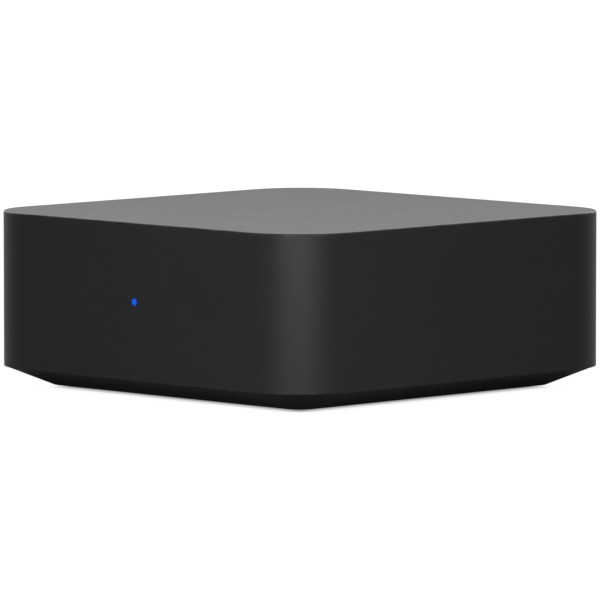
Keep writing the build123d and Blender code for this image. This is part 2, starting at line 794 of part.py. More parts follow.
# Light pipe: a clear rod that carries the light from the board up to the front wall
light_y = main_front_y + led_setback
led_top_z = board_top_z + led_height
with BuildPart() as light_pipe:
    with BuildLine() as pipe_path:
        FilletPolyline(
            (0, -half, light_z),
            (0, light_y, light_z),
            (0, light_y, led_top_z + led_air_gap),
            radius=pipe_bend_radius,
        )
    with BuildSketch(Plane((0, -half, light_z), x_dir=(1, 0, 0), z_dir=(0, 1, 0))):
        Circle(pipe_radius)
    sweep(path=pipe_path.line)
    lengthwise((0, light_z), pipe_collar_radius, (-wall_y, -wall_y + pipe_collar_thickness))
save(light_pipe, "light_pipe")

chip("status_led", [(0, light_y)], led_width, led_length, led_height, board_top_z, led_air_gap)

# Processor, thermal pad and finned cooler with its two push pins
pad_z = board_top_z + chip_thickness
sink_z = pad_z + pad_thickness
sink_base_top_z = sink_z + sink_base_thickness
chip("processor", [(main_x, sink_y)], chip_size, chip_size, chip_thickness, board_top_z, seat_gap)

with BuildPart() as thermal_pad:
    slab(around(main_x, chip_size), around(sink_y, chip_size), (pad_z, sink_z))
save(thermal_pad, "thermal_pad")

with BuildPart() as heat_sink:
    slab(around(main_x, sink_size), around(sink_y, sink_size), (sink_z, sink_base_top_z))
    fin_pitch = (sink_size - sink_fin_thickness) / (sink_fin_count - 1)
    for index in range(sink_fin_count):
        fin_x = main_x - (sink_size - sink_fin_thickness) / 2 + index * fin_pitch
        fin_z_span = (sink_base_top_z, sink_z + sink_height)
        slab(around(fin_x, sink_fin_thickness), around(sink_y, sink_fin_length), fin_z_span)
    for place in sink_pin_places:
        upright(place, sink_pin_radius + seat_gap, (sink_z - overrun, sink_base_top_z + overrun), Mode.SUBTRACT)
save(heat_sink, "heat_sink")

with BuildPart() as sink_pins:
    for place in sink_pin_places:
        upright(place, sink_pin_radius, (board_z - sink_pin_barb, sink_base_top_z))
        upright(place, sink_pin_head_radius, (sink_base_top_z, sink_base_top_z + sink_pin_head_height))
save(sink_pins, "sink_pins")

# Memory, converter, clocks and coils on the main board
memory_x = main_x + sink_size / 2 + memory_gap + memory_width / 2
memory_places = [(memory_x, y) for y in around(sink_y, memory_pitch)]
chip("memory_chips", memory_places, memory_width, memory_length, memory_thickness, board_top_z, seat_gap)

converter_y = sink_rear_y + converter_gap + converter_size / 2
converter_place = (main_left_x + main_width * converter_x_share, converter_y)
chip("audio_converter", [converter_place], converter_size, converter_size, converter_thickness, board_top_z, seat_gap)

crystal_places = [(x, converter_y) for x in around(main_x - crystal_shift, crystal_pitch)]
chip("clock_crystals", crystal_places, crystal_width, crystal_length, crystal_height, board_top_z, seat_gap)

audio_can_y = panel_back_y - phono_depth - audio_can_gap - audio_can_radius
audio_can_x = (coax_x + line_out_x) / 2
audio_can_places = [(audio_can_x + step * audio_can_pitch, audio_can_y) for step in (-1, 0, 1)]
cans("audio_capacitors", audio_can_places, audio_can_radius, audio_can_height)

magnetics_x = jack_x + magnetics_shift
magnetics_y = jack_back_y - magnetics_gap - magnetics_length / 2
magnetics_bevel = board_thickness / 2
chip(
    "ethernet_transformer",
    [(magnetics_x, magnetics_y)],
    magnetics_width,
    magnetics_length,
    magnetics_height,
    board_top_z,
    magnetics_bevel,
)

inductor_x = (main_left_x + main_x - sink_size / 2) / 2
inductor_y = main_front_y + main_length * inductor_y_share
inductor_places = [(inductor_x, y) for y in around(inductor_y, inductor_pitch)]
chip("inductors", inductor_places, inductor_size, inductor_size, inductor_height, board_top_z, board_thickness / 2)

# Bridge connector that carries the supply from one board to the other
with BuildPart() as board_link:
    link_x = (power_right_x + main_left_x) / 2
    link_y = main_front_y + main_length * link_y_share
    slab(around(link_x, link_width), around(link_y, link_length), (board_top_z, board_top_z + link_height))
    chamfer(board_link.edges().filter_by(Axis.Y).group_by(Axis.Z)[-1], board_thickness)
save(board_link, "board_link")

# Radio module: a small board with a metal screening can and two aerial sockets
radio_x = main_left_x + main_width * radio_x_share
radio_top_z = board_top_z + radio_board_thickness
aerial_socket_y = radio_rear_y - aerial_socket_inset
aerial_socket_xs = around(radio_x, aerial_socket_pitch)
plug_z = radio_top_z + aerial_socket_height
with BuildPart() as radio_module:
    slab(around(radio_x, radio_width), (radio_front_y, radio_rear_y), (board_top_z, radio_top_z))
    for x in aerial_socket_xs:
        upright((x, aerial_socket_y), aerial_socket_radius, (radio_top_z, plug_z))
save(radio_module, "radio_module")

with BuildPart() as radio_shield:
    shield_width = radio_width - 2 * radio_edge_gap
    shield_front_y = radio_front_y + radio_edge_gap
    shield_y_span = (shield_front_y, shield_front_y + radio_shield_length)
    slab(around(radio_x, shield_width), shield_y_span, (radio_top_z, radio_top_z + radio_shield_height))
    slab(
        around(radio_x, shield_width - 2 * radio_shield_wall),
        (shield_y_span[0] + radio_shield_wall, shield_y_span[1] - radio_shield_wall),
        (radio_top_z - overrun, radio_top_z + radio_shield_height - radio_shield_wall),
        Mode.SUBTRACT,
    )
save(radio_shield, "radio_shield")

# Power board, from the inlet forwards: fuse, filter, rectifier, reservoir, transformer, smoothing
fuse_y = rear_screw_y
choke_y = fuse_y - fuse_length / 2 - power_piece_gap - choke_length / 2
rectifier_y = choke_y - choke_length / 2 - power_piece_gap - rectifier_length / 2
bulk_y = rectifier_y - rectifier_length / 2 - power_piece_gap - bulk_can_radius
bulk_x = power_left_x + power_piece_gap + bulk_can_radius
core_y = bulk_y - bulk_can_radius - power_piece_gap - core_length / 2
output_y = core_y - core_length / 2 - power_piece_gap / 2 - output_can_radius
output_half_pitch = output_can_radius + seat_gap
chip("fuse", [(power_x, fuse_y)], fuse_width, fuse_length, fuse_height, board_top_z, board_thickness / 2)
chip(
    "rectifier",
    [(power_x, rectifier_y)],
    rectifier_width,
    rectifier_length,
    rectifier_height,
    board_top_z,
    board_thickness / 2,
)
cans("bulk_capacitor", [(bulk_x, bulk_y)], bulk_can_radius, bulk_can_height)
cans(
    "output_capacitors",
    [(power_x - output_half_pitch, output_y), (power_x + output_half_pitch, output_y)],
    output_can_radius,
    output_can_height,
)

with BuildPart() as line_filter:
    choke_z_span = (board_top_z, board_top_z + choke_height)
    slab(around(power_x, choke_width), around(choke_y, choke_length), choke_z_span)
    window_width = choke_width - 2 * choke_limb
    window_z_span = (choke_z_span[0] + choke_limb, choke_z_span[1] - choke_limb)
    slab(around(power_x, window_width / 2), around(choke_y, choke_length + overrun), window_z_span, Mode.SUBTRACT)
    fillet(line_filter.edges().filter_by(Axis.Y).group_by(Axis.Z)[-1], choke_limb / 2)
save(line_filter, "line_filter")

switch_x = bulk_x + bulk_can_radius + power_piece_gap + power_switch_width / 2
chip(
    "power_switch",
    [(switch_x, bulk_y)],
    power_switch_width,
    power_switch_length,
    power_switch_height,
    board_top_z,
    board_thickness / 2,
)

# Transformer: an upright frame of ferrite with a wound bobbin in its window
with BuildPart() as transformer_core:
    core_z_span = (board_top_z, board_top_z + core_height)
    window_x_span = around(power_x, core_width - 2 * core_leg)
    window_z_span = (core_z_span[0] + core_leg, core_z_span[1] - core_leg)
    slab(around(power_x, core_width), around(core_y, core_length / 2), core_z_span)
    slab(window_x_span, around(core_y, core_length), window_z_span, Mode.SUBTRACT)
save(transformer_core, "transformer_core")

with BuildPart() as transformer_winding:
    bobbin_x_span = around(power_x, core_width - 2 * core_leg - 2 * winding_clearance)
    slab(bobbin_x_span, around(core_y, core_length), window_z_span)
    fillet(transformer_winding.edges().filter_by(Axis.X), core_leg / 2)
save(transformer_winding, "transformer_winding")

# Aerials: thin plates on the side walls, each joined to the radio module by a thin lead
aerial_z = roof_z - aerial_roof_gap - aerial_height / 2
aerial_face_x = wall_y - aerial_thickness
for node, sign in (("left_aerial", -1), ("right_aerial", 1)):
    with BuildPart() as aerial:
        aerial_x_span = sorted((sign * aerial_face_x, sign * wall_y))
        slab(aerial_x_span, around(aerial_y, aerial_length), around(aerial_z, aerial_height))
    save(aerial, node)


def bend_radii(points):
    """The largest arc that two runs leave room for, at each inner point of a route."""
    radii = []
    for before, here, after in zip(points, points[1:], points[2:]):
        arriving = Vector(*here) - Vector(*before)
        leaving = Vector(*after) - Vector(*here)
        turn = math.radians(arriving.get_angle(leaving))
        shorter = min(arriving.length, leaving.length)
        radii.append(lead_bend_share * shorter / math.tan(turn / 2))
    return radii


def aerial_lead(node, plug_place, points):
    """A thin lead from its plug on the module to the face of an aerial."""
    radii = bend_radii(points)
    print(node, "bend radii", [round(radius, 1) for radius in radii])
    start = Vector(*points[0])
    leaving = Vector(*points[1]) - start
    with BuildPart() as lead:
        with BuildLine() as route:
            FilletPolyline(*points, radius=radii)
        with BuildSketch(Plane(start, z_dir=leaving)):
            Circle(lead_radius)
        sweep(path=route.line)
        upright(plug_place, aerial_plug_radius, (plug_z, plug_z + aerial_plug_height))
    save(lead, node)


# The routes keep over the boards' screws, clear of the cooler and outside the casing's bosses
lead_z = plug_z + aerial_plug_height / 2
hop = aerial_plug_height
gutter_x = (boss_x + boss_radius + wall_y) / 2
right_route = [
    (aerial_socket_xs[1], aerial_socket_y, lead_z),
    (main_right_x, aerial_socket_y + 5 * hop, lead_z + hop),
    (gutter_x - 2 * hop, (aerial_socket_y + aerial_y) / 2, lead_z + 5 * hop),
    (gutter_x - hop, aerial_y, aerial_z),
    (aerial_face_x, aerial_y, aerial_z),
]
front_lane_y = main_front_y + lead_lane_setback
left_route = [
    (aerial_socket_xs[0], aerial_socket_y, lead_z),
    (radio_x - radio_width, aerial_socket_y - hop, lead_z + hop),
    (main_left_x + 2 * board_edge_inset, (aerial_socket_y + front_lane_y) / 2, lead_z + 2 * hop),
    (power_x, front_lane_y, lead_z + hop),
    (-boss_x + 2 * hop, front_lane_y + hop, lead_z + hop),
    (-gutter_x, -boss_spacing_y / 2 - 3 * hop, lead_z + 4 * hop),
    (-gutter_x + hop, aerial_y, aerial_z),
    (-aerial_face_x, aerial_y, aerial_z),
]
aerial_lead("right_aerial_lead", (aerial_socket_xs[1], aerial_socket_y), right_route)
aerial_lead("left_aerial_lead", (aerial_socket_xs[0], aerial_socket_y), left_route)
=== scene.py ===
# %% [markdown]
# # A compact network music streamer
# The object is a matt black box, 14 cm square and 5.4 cm high, with round corners and a
# tapered underside, so that it seems to float over the table. Its only sign of life is a
# blue light window in the front wall. The sockets sit in a recess in the rear wall.
# The CAD frame gives the size and the place of each piece. This lesson gives the looks:
# smooth moulded skins, plated metal, rubber, and the soft light of a photo studio. The few
# sizes that a box can't tell, such as the thickness of a wall, are named where they are used.

# %% The frame
import bmesh
import bpy
import json
import math
from collections import Counter
from mathutils import Matrix, Vector


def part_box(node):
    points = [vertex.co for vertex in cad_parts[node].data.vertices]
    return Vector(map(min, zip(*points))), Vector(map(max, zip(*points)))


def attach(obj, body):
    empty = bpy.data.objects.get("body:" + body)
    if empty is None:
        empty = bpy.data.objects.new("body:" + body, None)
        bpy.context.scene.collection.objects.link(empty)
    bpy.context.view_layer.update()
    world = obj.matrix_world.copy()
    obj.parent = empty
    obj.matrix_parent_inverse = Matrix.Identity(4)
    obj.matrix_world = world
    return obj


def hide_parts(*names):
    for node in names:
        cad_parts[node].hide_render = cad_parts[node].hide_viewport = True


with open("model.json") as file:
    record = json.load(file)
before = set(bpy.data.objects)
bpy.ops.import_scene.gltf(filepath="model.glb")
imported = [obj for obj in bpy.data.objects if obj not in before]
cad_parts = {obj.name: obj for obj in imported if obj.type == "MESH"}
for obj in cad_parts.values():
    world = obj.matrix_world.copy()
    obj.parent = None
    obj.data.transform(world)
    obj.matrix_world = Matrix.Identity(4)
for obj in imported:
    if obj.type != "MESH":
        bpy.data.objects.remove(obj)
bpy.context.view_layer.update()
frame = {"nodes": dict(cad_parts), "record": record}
scene = bpy.context.scene
mm = 0.001


def in_mm(length):
    return round(length / mm, 2)


# %% [markdown]
# ## Places from the frame
# The feet, the screws and the sockets stand where the drawing says. Their places could be
# typed in again, but a change to the drawing would then leave them behind, so they are
# measured. A CAD node is a cloud of loose triangles. Once its corners are merged, the
# triangles that touch form solids, and the box of each solid says where it stands.

# %% Measuring the frame
merge_gap = 0.002 * mm


def solids_of(node):
    """The lowest and highest corner of each separate solid of a CAD node."""
    build = bmesh.new()
    build.from_mesh(frame["nodes"][node].data)
    bmesh.ops.remove_doubles(build, verts=build.verts, dist=merge_gap)
    unseen = set(build.verts)
    boxes = []
    while unseen:
        # The group grows while it is walked, until nothing new touches it.
        group = [unseen.pop()]
        for vertex in group:
            touching = {edge.other_vert(vertex) for edge in vertex.link_edges} & unseen
            unseen -= touching
            group += touching
        corners = [Vector([pick(v.co[i] for v in group) for i in range(3)]) for pick in (min, max)]
        boxes.append(corners)
    build.free()
    return sorted(boxes, key=lambda corners: tuple(corners[0]))


def middle_of(corners):
    return (corners[0] + corners[1]) / 2


def points_of(node):
    return [vertex.co for vertex in frame["nodes"][node].data.vertices]


print("rubber_feet holds", len(solids_of("rubber_feet")), "solids")

# %% [markdown]
# The casing is a square with round corners, and the tray below it tapers inwards. Their
# boxes give the heights and the half side. No box tells a corner radius, but a round
# corner of radius r cuts the diagonal of a square short by r times (root 2 - 1). So the
# reach of the casing along its diagonal gives the radius, with no number typed in.

# %% The main sizes
bottom_band = 0.1 * mm

shell_low, shell_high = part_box("top_shell")
tray_low, tray_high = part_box("base_tray")
half = shell_high.x
top_z = shell_high.z
edge_z = shell_low.z
base_z = tray_low.z
board_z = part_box("main_board")[0].z
tray_inset = half - tray_high.x
base_inset = half - max(p.x for p in points_of("base_tray") if p.z < base_z + bottom_band)
root_two = math.sqrt(2)
diagonal_reach = max(p.x + p.y for p in points_of("top_shell")) / root_two
corner_radius = (half * root_two - diagonal_reach) / (root_two - 1)
print("half side", in_mm(half), "top", in_mm(top_z), "edge", in_mm(edge_z), "base", in_mm(base_z))
print("corner radius", in_mm(corner_radius), "mm, base drawn in by", in_mm(base_inset), "mm")

# %% [markdown]
# ## The camera
# A product photo is taken from far away with a long lens, which keeps the edges of a box
# almost parallel. A camera could be placed by eye, but a small error in its turn shows at
# once in the two slanting roof lines. So the turn, the rise, the reach and the lens were
# fitted to the outline in the photo: square on to a corner, a little over five degrees
# above the table. A slight shift frames the object without turning the camera.

# %% The camera
camera_turn = math.radians(45.109)
camera_rise = math.radians(5.2157)
camera_reach = 2.360
camera_lens = 463.60
camera_shift = 0.01101
camera_aim = Vector((0, 0, 24.6 * mm))

to_camera = Vector((
    math.sin(camera_turn) * math.cos(camera_rise),
    -math.cos(camera_turn) * math.cos(camera_rise),
    math.sin(camera_rise),
))
camera = bpy.data.objects.new("camera", bpy.data.cameras.new("camera"))
camera.data.lens = camera_lens
camera.data.shift_y = camera_shift
camera.location = camera_aim + to_camera * camera_reach
camera.rotation_euler = (-to_camera).to_track_quat("-Z", "Y").to_euler()
scene.collection.objects.link(camera)
scene.camera = camera
print("camera", camera_reach, "m away, at", [round(v, 3) for v in camera.location])

# %% [markdown]
# ## Two helpers for node trees
# Materials and geometry trees are both graphs of nodes. They could be wired by hand in the
# editor, or link by link in a script, and either is hard to read back. The first helper
# wraps an output socket, so that maths on sockets reads like maths on numbers, and each
# operator adds its own Math node.

# %% Wires
class Wire:
    """An output socket that can stand in a sum."""

    def __init__(self, nodes, socket):
        self.nodes = nodes
        self.socket = socket

    def __add__(self, other):
        return self.nodes.maths("ADD", self, other)

    def __sub__(self, other):
        return self.nodes.maths("SUBTRACT", self, other)

    def __rsub__(self, other):
        return self.nodes.maths("SUBTRACT", other, self)

    def __mul__(self, other):
        return self.nodes.maths("MULTIPLY", self, other)

    def __truediv__(self, other):
        return self.nodes.maths("DIVIDE", self, other)

    def __pow__(self, other):
        return self.nodes.maths("POWER", self, other)

    def __abs__(self):
        return self.nodes.maths("ABSOLUTE", self)

    __radd__ = __add__
    __rmul__ = __mul__

    def most(self, other):
        """The larger of two values."""
        return self.nodes.maths("MAXIMUM", self, other)

    def step(self, start, end):
        """Rises smoothly from 0 at the start value to 1 at the end value."""
        sockets = {"Value": self, "From Min": start, "From Max": end}
        return self.nodes.add("ShaderNodeMapRange", sockets, interpolation_type="SMOOTHSTEP")


print("wires are ready")

# %% [markdown]
# The second helper adds a node from its type, the values or links of its sockets, and its
# settings. The settings are made first, as some of them decide which sockets a node has.
# One method serves every kind of node, so a recipe never repeats the steps of linking.

# %% Node trees
class Nodes:
    """A node tree that grows one node at a time."""

    def __init__(self, tree):
        self.tree = tree

    def add(self, kind, sockets=None, out=0, **settings):
        """Adds a node and gives back one of its outputs, by number or by name."""
        node = self.tree.nodes.new(kind)
        for name, value in settings.items():
            setattr(node, name, value)
        for key, value in (sockets or {}).items():
            named = [s for s in node.inputs if s.enabled and key in (s.identifier, s.name)]
            socket = node.inputs[key] if isinstance(key, int) else named[0]
            several = isinstance(value, list) and isinstance(value[0], Wire)
            items = value if several else [value]
            for item in items:
                if isinstance(item, Wire):
                    self.tree.links.new(item.socket, socket)
                else:
                    socket.default_value = item
        shown = [s for s in node.outputs if s.enabled]
        if not shown:
            return None
        return Wire(self, shown[out] if isinstance(out, int) else node.outputs[out])

    def maths(self, operation, first, second=0.0):
        return self.add("ShaderNodeMath", {0: first, 1: second}, operation=operation)

    def mixed(self, mask, first, second):
        """One colour fading into another where the mask rises."""
        sockets = {"Factor_Float": mask, "A_Color": first, "B_Color": second}
        return self.add("ShaderNodeMix", sockets, data_type="RGBA")

    def noise(self, place, size, detail=2.0):
        """Soft random patches of about the given size in metres."""
        return self.add("ShaderNodeTexNoise", {"Vector": place, "Scale": 1 / size, "Detail": detail})

    def parted(self, place):
        """The x, y and z of a vector."""
        return [self.add("ShaderNodeSeparateXYZ", {0: place}, out=axis) for axis in "XYZ"]


print("node trees are ready")

# %% [markdown]
# ## Finishes
# Each finish is a recipe for one real surface. Photos of plastic and metal could be laid on
# the pieces, but they need files and turn soft from near by. A recipe is worked out from the
# place on the object, in metres, so its grain has the real size on every piece. All recipes
# share a start, which gives that place, and an end, which joins a principled surface and a
# bump from a height in metres.

# %% The start and the end of a finish
finishes = {}


def grey(value):
    return (value, value, value, 1)


def shaded(colour, factor):
    """A colour made lighter or darker."""
    return [min(1.0, value * factor) for value in colour[:3]] + [1]


def emptied(owner):
    """The node tree of a material or a world, without what Blender puts in it."""
    owner.use_nodes = True
    owner.node_tree.nodes.clear()
    return Nodes(owner.node_tree)


def begin(name):
    """A new material, and the place on the object that its recipe starts from."""
    finishes[name] = bpy.data.materials.new(name)
    nodes = emptied(finishes[name])
    return nodes, nodes.add("ShaderNodeTexCoord", out="Object")


def end(nodes, colour, rough, height, **fixed):
    """Joins a colour, a roughness and a height to a principled surface."""
    normal = nodes.add("ShaderNodeBump", {"Strength": 1.0, "Distance": 1.0, "Height": height})
    sockets = {"Base Color": colour, "Roughness": rough, "Normal": normal}
    for label, value in fixed.items():
        sockets[label.replace("_", " ")] = value
    surface = nodes.add("ShaderNodeBsdfPrincipled", sockets)
    nodes.add("ShaderNodeOutputMaterial", {"Surface": surface})


print("finishes are ready to be written")

# %% [markdown]
# ### Grained plastic
# The casing is injection moulded in a spark-eroded tool, which leaves a fine, even grain
# about a third of a millimetre across. As real geometry that grain would need millions of
# faces, so a bump stands for it. Hands polish the soft black a little in broad patches, and
# the roof's edge catches a trace of wear. A painted mask would need an unwrapped mesh, so
# the mask for that edge is worked out from the plan of the box. Light that grazes the roof
# picks up a faint haze, as on every matt moulding, and sheen gives it.

# %% Casing, base and panel plastic
patch_size = 28 * mm
patch_band = (0.3, 0.7)
patch_tone = 1.12
patch_shine = 0.05
dust_size = 1.1 * mm
dust_shine = 0.06
wear_size = 6 * mm
wear_band = (0.42, 0.62)
worn_inset = (0.2 * mm, 1.1 * mm)
worn_drop = (1.0 * mm, 0.3 * mm)
worn_grey = 0.03
worn_share = 0.35
worn_shine = 0.1
haze_rough = 0.3
haze_tint = (0.95, 1.0, 1.0, 1)


def inset_of(nodes, place):
    """How far a point stands in from the outline of the casing, and its height."""
    x, y, z = nodes.parted(place)
    over_x = (abs(x) - (half - corner_radius)).most(0.0)
    over_y = (abs(y) - (half - corner_radius)).most(0.0)
    return corner_radius - (over_x * over_x + over_y * over_y) ** 0.5, z


def grained_plastic(name, colour, rough, grain, depth, gloss, haze):
    """A matt moulding with a grain of the given size and depth."""
    nodes, place = begin(name)
    patches = nodes.noise(place, patch_size)
    dust = nodes.noise(place, dust_size, detail=3.0)
    grains = nodes.noise(place, grain, detail=3.0)
    inset, z = inset_of(nodes, place)
    near_side = 1 - inset.step(*worn_inset)
    near_roof = z.step(top_z - worn_drop[0], top_z - worn_drop[1])
    wear = near_side * near_roof * nodes.noise(place, wear_size).step(*wear_band)
    tone = nodes.mixed(patches.step(*patch_band), colour, shaded(colour, patch_tone))
    tone = nodes.mixed(wear * worn_share, tone, grey(worn_grey))
    shine = rough + (patches - 0.5) * patch_shine + (dust - 0.5) * dust_shine - wear * worn_shine
    end(nodes, tone, shine, grains * depth, Specular_IOR_Level=gloss,
        Sheen_Weight=haze, Sheen_Roughness=haze_rough, Sheen_Tint=haze_tint)


soft_black = (0.0090, 0.0094, 0.0095, 1)
# Painted shade: the tray's black is the casing's black made four times darker, for its underside.
base_black_painted_shade = shaded(soft_black, 0.25)
panel_black = shaded(soft_black, 1.6)
fine_grain = {"grain": 0.34 * mm, "depth": 0.035 * mm}
panel_grain = {"grain": 0.22 * mm, "depth": 0.02 * mm}
grained_plastic("casing_plastic", soft_black, rough=0.48, gloss=0.14, haze=0.075, **fine_grain)
grained_plastic("base_plastic", base_black_painted_shade, rough=0.42, gloss=0.26, haze=0.01, **fine_grain)
grained_plastic("panel_plastic", panel_black, rough=0.50, gloss=0.25, haze=0.05, **panel_grain)
print("casing finishes:", sorted(finishes))

# %% [markdown]
# ### Small plastics
# Small mouldings, chips, rubber and coloured socket rings are plastics too. Each could have
# a graph of its own, but they differ only in colour, gloss and grain. So one recipe serves
# them all, and slight patches and pits keep them from looking like plain paint.

# %% Small plastics
blotch_size = 5 * mm
blotch_shine = 0.12
pit_band = (0.55, 0.8)
pit_share = 0.3
pit_tone = 0.8


def small_plastic(name, colour, rough, grain, depth, gloss=0.5, spread=1.12):
    """A small moulding, with patches lighter than the rest by the spread."""
    nodes, place = begin(name)
    patches = nodes.noise(place, blotch_size)
    grains = nodes.noise(place, grain, detail=3.0)
    pits = grains.step(*pit_band)
    tone = nodes.mixed(patches.step(*patch_band), colour, shaded(colour, spread))
    tone = nodes.mixed(pits * pit_share, tone, shaded(colour, pit_tone))
    shine = rough + (patches - 0.5) * blotch_shine
    end(nodes, tone, shine, grains * depth, Specular_IOR_Level=gloss)


near_black = (0.016, 0.016, 0.017, 1)
rubber_black = (0.02, 0.02, 0.021, 1)
pad_blue = (0.30, 0.34, 0.40, 1)
cable_grey = (0.07, 0.07, 0.075, 1)
core_grey = (0.030, 0.029, 0.028, 1)
ring_grain = {"grain": 0.6 * mm, "depth": 0.006 * mm}
small_plastic("moulded_black", near_black, rough=0.36, grain=0.5 * mm, depth=0.008 * mm)
small_plastic("chip_black", near_black, rough=0.62, grain=0.12 * mm, depth=0.012 * mm, gloss=0.35)
small_plastic("white_plastic", (0.72, 0.71, 0.68, 1), rough=0.34, spread=1.04, **ring_grain)
small_plastic("red_plastic", (0.46, 0.012, 0.010, 1), rough=0.34, **ring_grain)
small_plastic("orange_plastic", (0.72, 0.16, 0.012, 1), rough=0.34, **ring_grain)
small_plastic("pin_nylon", (0.62, 0.60, 0.54, 1), rough=0.45, grain=0.5 * mm, depth=0.006 * mm)
small_plastic("led_white", (0.80, 0.78, 0.66, 1), rough=0.40, grain=0.3 * mm, depth=0.004 * mm)
small_plastic("winding_tape", (0.62, 0.40, 0.03, 1), rough=0.30, grain=1.2 * mm, depth=0.02 * mm)
small_plastic("rubber", rubber_black, rough=0.82, grain=0.4 * mm, depth=0.03 * mm, gloss=0.25)
small_plastic("pad_grey", pad_blue, rough=0.85, grain=0.3 * mm, depth=0.03 * mm, gloss=0.2)
small_plastic("lead_grey", cable_grey, rough=0.55, grain=0.4 * mm, depth=0.010 * mm, gloss=0.4)
small_plastic("ferrite", core_grey, rough=0.70, grain=0.25 * mm, depth=0.03 * mm, gloss=0.35)
print("finishes so far:", len(finishes))

# %% [markdown]
# ### Metals
# The metals differ in plating and in how they were worked. Tin plate is cloudy, nickel is
# bright, gold flash is warm, and screws are blackened steel. The shader's anisotropy could
# draw their brushed shine, but it needs a direction for every face. So fine scratches come
# from noise that is stretched along one axis, and clouds vary the tone and the shine.

# %% Metals
scratch_size = 0.25 * mm
scratch_shine = 0.10
cloud_size = 3.5 * mm
cloud_band = (0.35, 0.75)
cloud_share = 0.5
cloud_tone = 0.72


def plated(name, colour, rough, along, depth, cloud=0.12):
    """A metal, with its scratches drawn out along the axis of the smallest number."""
    nodes, place = begin(name)
    stretched = nodes.add("ShaderNodeMapping", {"Vector": place, "Scale": along})
    scratches = nodes.noise(stretched, scratch_size, detail=3.0)
    clouds = nodes.noise(place, cloud_size)
    tone = nodes.mixed(clouds.step(*cloud_band) * cloud_share, colour, shaded(colour, cloud_tone))
    shine = rough + (clouds - 0.5) * cloud + (scratches - 0.5) * scratch_shine
    end(nodes, tone, shine, scratches * depth, Metallic=1.0)


nickel = (0.66, 0.63, 0.57, 1)
gold = (0.80, 0.55, 0.20, 1)
tin = (0.56, 0.56, 0.57, 1)
black_steel = (0.11, 0.11, 0.115, 1)
bright_can = (0.62, 0.63, 0.65, 1)
raw_aluminium = (0.50, 0.51, 0.53, 1)
plated("nickel", nickel, rough=0.22, along=(1, 0.12, 1), depth=0.004 * mm)
plated("gold_plate", gold, rough=0.24, along=(1, 0.2, 1), depth=0.004 * mm)
plated("tin_plate", tin, rough=0.34, along=(1, 0.3, 1), depth=0.006 * mm, cloud=0.25)
plated("screw_steel", black_steel, rough=0.36, along=(1, 1, 1), depth=0.008 * mm)
plated("can_sleeve", bright_can, rough=0.32, along=(1, 1, 0.2), depth=0.005 * mm)
plated("heat_metal", raw_aluminium, rough=0.42, along=(1, 0.05, 1), depth=0.012 * mm)
print("finishes with metals:", len(finishes))

# %% [markdown]
# ### Circuit board
# A circuit board is green solder mask over copper. The copper tracks show through as a
# lighter green and stand a little proud. Modelled one by one they would be thousands of
# thin strips that hardly anybody sees. A cell pattern at a pitch of about two millimetres
# gives steps along both directions and pads between them, and noise leaves places bare.

# %% Circuit board
cell_pitch = 2.2 * mm
track_middle = 0.33
track_band = (0.10, 0.04)
pad_band = (0.10, 0.06)
way_size = 6 * mm
way_band = (0.42, 0.5)
pad_patch_size = 9 * mm
pad_patch_band = (0.5, 0.55)
track_height = 0.03 * mm
mask_green = (0.006, 0.062, 0.026, 1)
track_green = (0.012, 0.115, 0.045, 1)
solder_grey = (0.62, 0.60, 0.56, 1)
mask_rough = 0.30
pad_shine = 0.12
way_shine = 0.08

nodes, place = begin("circuit_board")
sockets = {"Vector": place, "Scale": 1 / cell_pitch}
cells = nodes.add("ShaderNodeTexVoronoi", sockets, distance="CHEBYCHEV")
ways = nodes.noise(place, way_size)
tracks = abs(cells - track_middle).step(*track_band) * ways.step(*way_band)
pads = cells.step(*pad_band) * nodes.noise(place, pad_patch_size).step(*pad_patch_band)
tone = nodes.mixed(tracks, mask_green, track_green)
tone = nodes.mixed(pads, tone, solder_grey)
shine = mask_rough + pads * pad_shine + (ways - 0.5) * way_shine
end(nodes, tone, shine, (tracks + pads) * track_height)
print("the board's tracks are", in_mm(track_height), "mm proud")

# %% [markdown]
# ### Clear acrylic
# The light pipe is a clear acrylic rod. Its front face sends out the blue of the status
# light, a little brighter in the middle. A lamp inside the rod would have to find its way
# out through the bend, which takes many samples and leaves noise. So the first millimetre
# of the rod glows by itself, and the distance from the front face makes the mask.

# %% Clear acrylic with a lit face
pipe_low, pipe_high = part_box("light_pipe")
pipe_radius = 1.05 * mm
collar_radius = pipe_high.x
light_z = pipe_high.z - collar_radius
lit_depth = (1.2 * mm, 0.2 * mm)
swirl_size = 0.8 * mm
swirl_depth = 0.004 * mm
swirl_shine = 0.08
rod_rough = 0.20
middle_band = (0.2, 1.1)
middle_blue = (0.0, 0.110, 0.97, 1)
rim_blue = (0.0, 0.075, 0.80, 1)
clear_tone = (0.80, 0.86, 0.92, 1)
lit_tone = (0.0, 0.004, 0.02, 1)

nodes, place = begin("clear_acrylic")
x, y, z = nodes.parted(place)
lit = y.step(-half + lit_depth[0], -half + lit_depth[1])
rise = z - light_z
off_middle = (x * x + rise * rise) ** 0.5 / pipe_radius
blue = nodes.mixed(off_middle.step(*middle_band), middle_blue, rim_blue)
glow = nodes.mixed(lit, grey(0), blue)
swirl = nodes.noise(place, swirl_size)
tone = nodes.mixed(lit, clear_tone, lit_tone)
shine = rod_rough + swirl * swirl_shine
end(nodes, tone, shine, swirl * swirl_depth, Specular_IOR_Level=0.1,
    Emission_Color=glow, Emission_Strength=1.0)
print("light window at height", in_mm(light_z), "mm,", len(finishes), "finishes")

# %% [markdown]
# ## Shapes that follow a rule
# The casing and its tray are each a drawn section carried around a square plan with round
# corners. They could be cut from a block with many bevels, but such mouldings are drawn as
# sections, so a geometry tree does the same. The section is its start mesh, and two flat
# caps close the middle. Then it adds what is moulded on and takes away the openings.

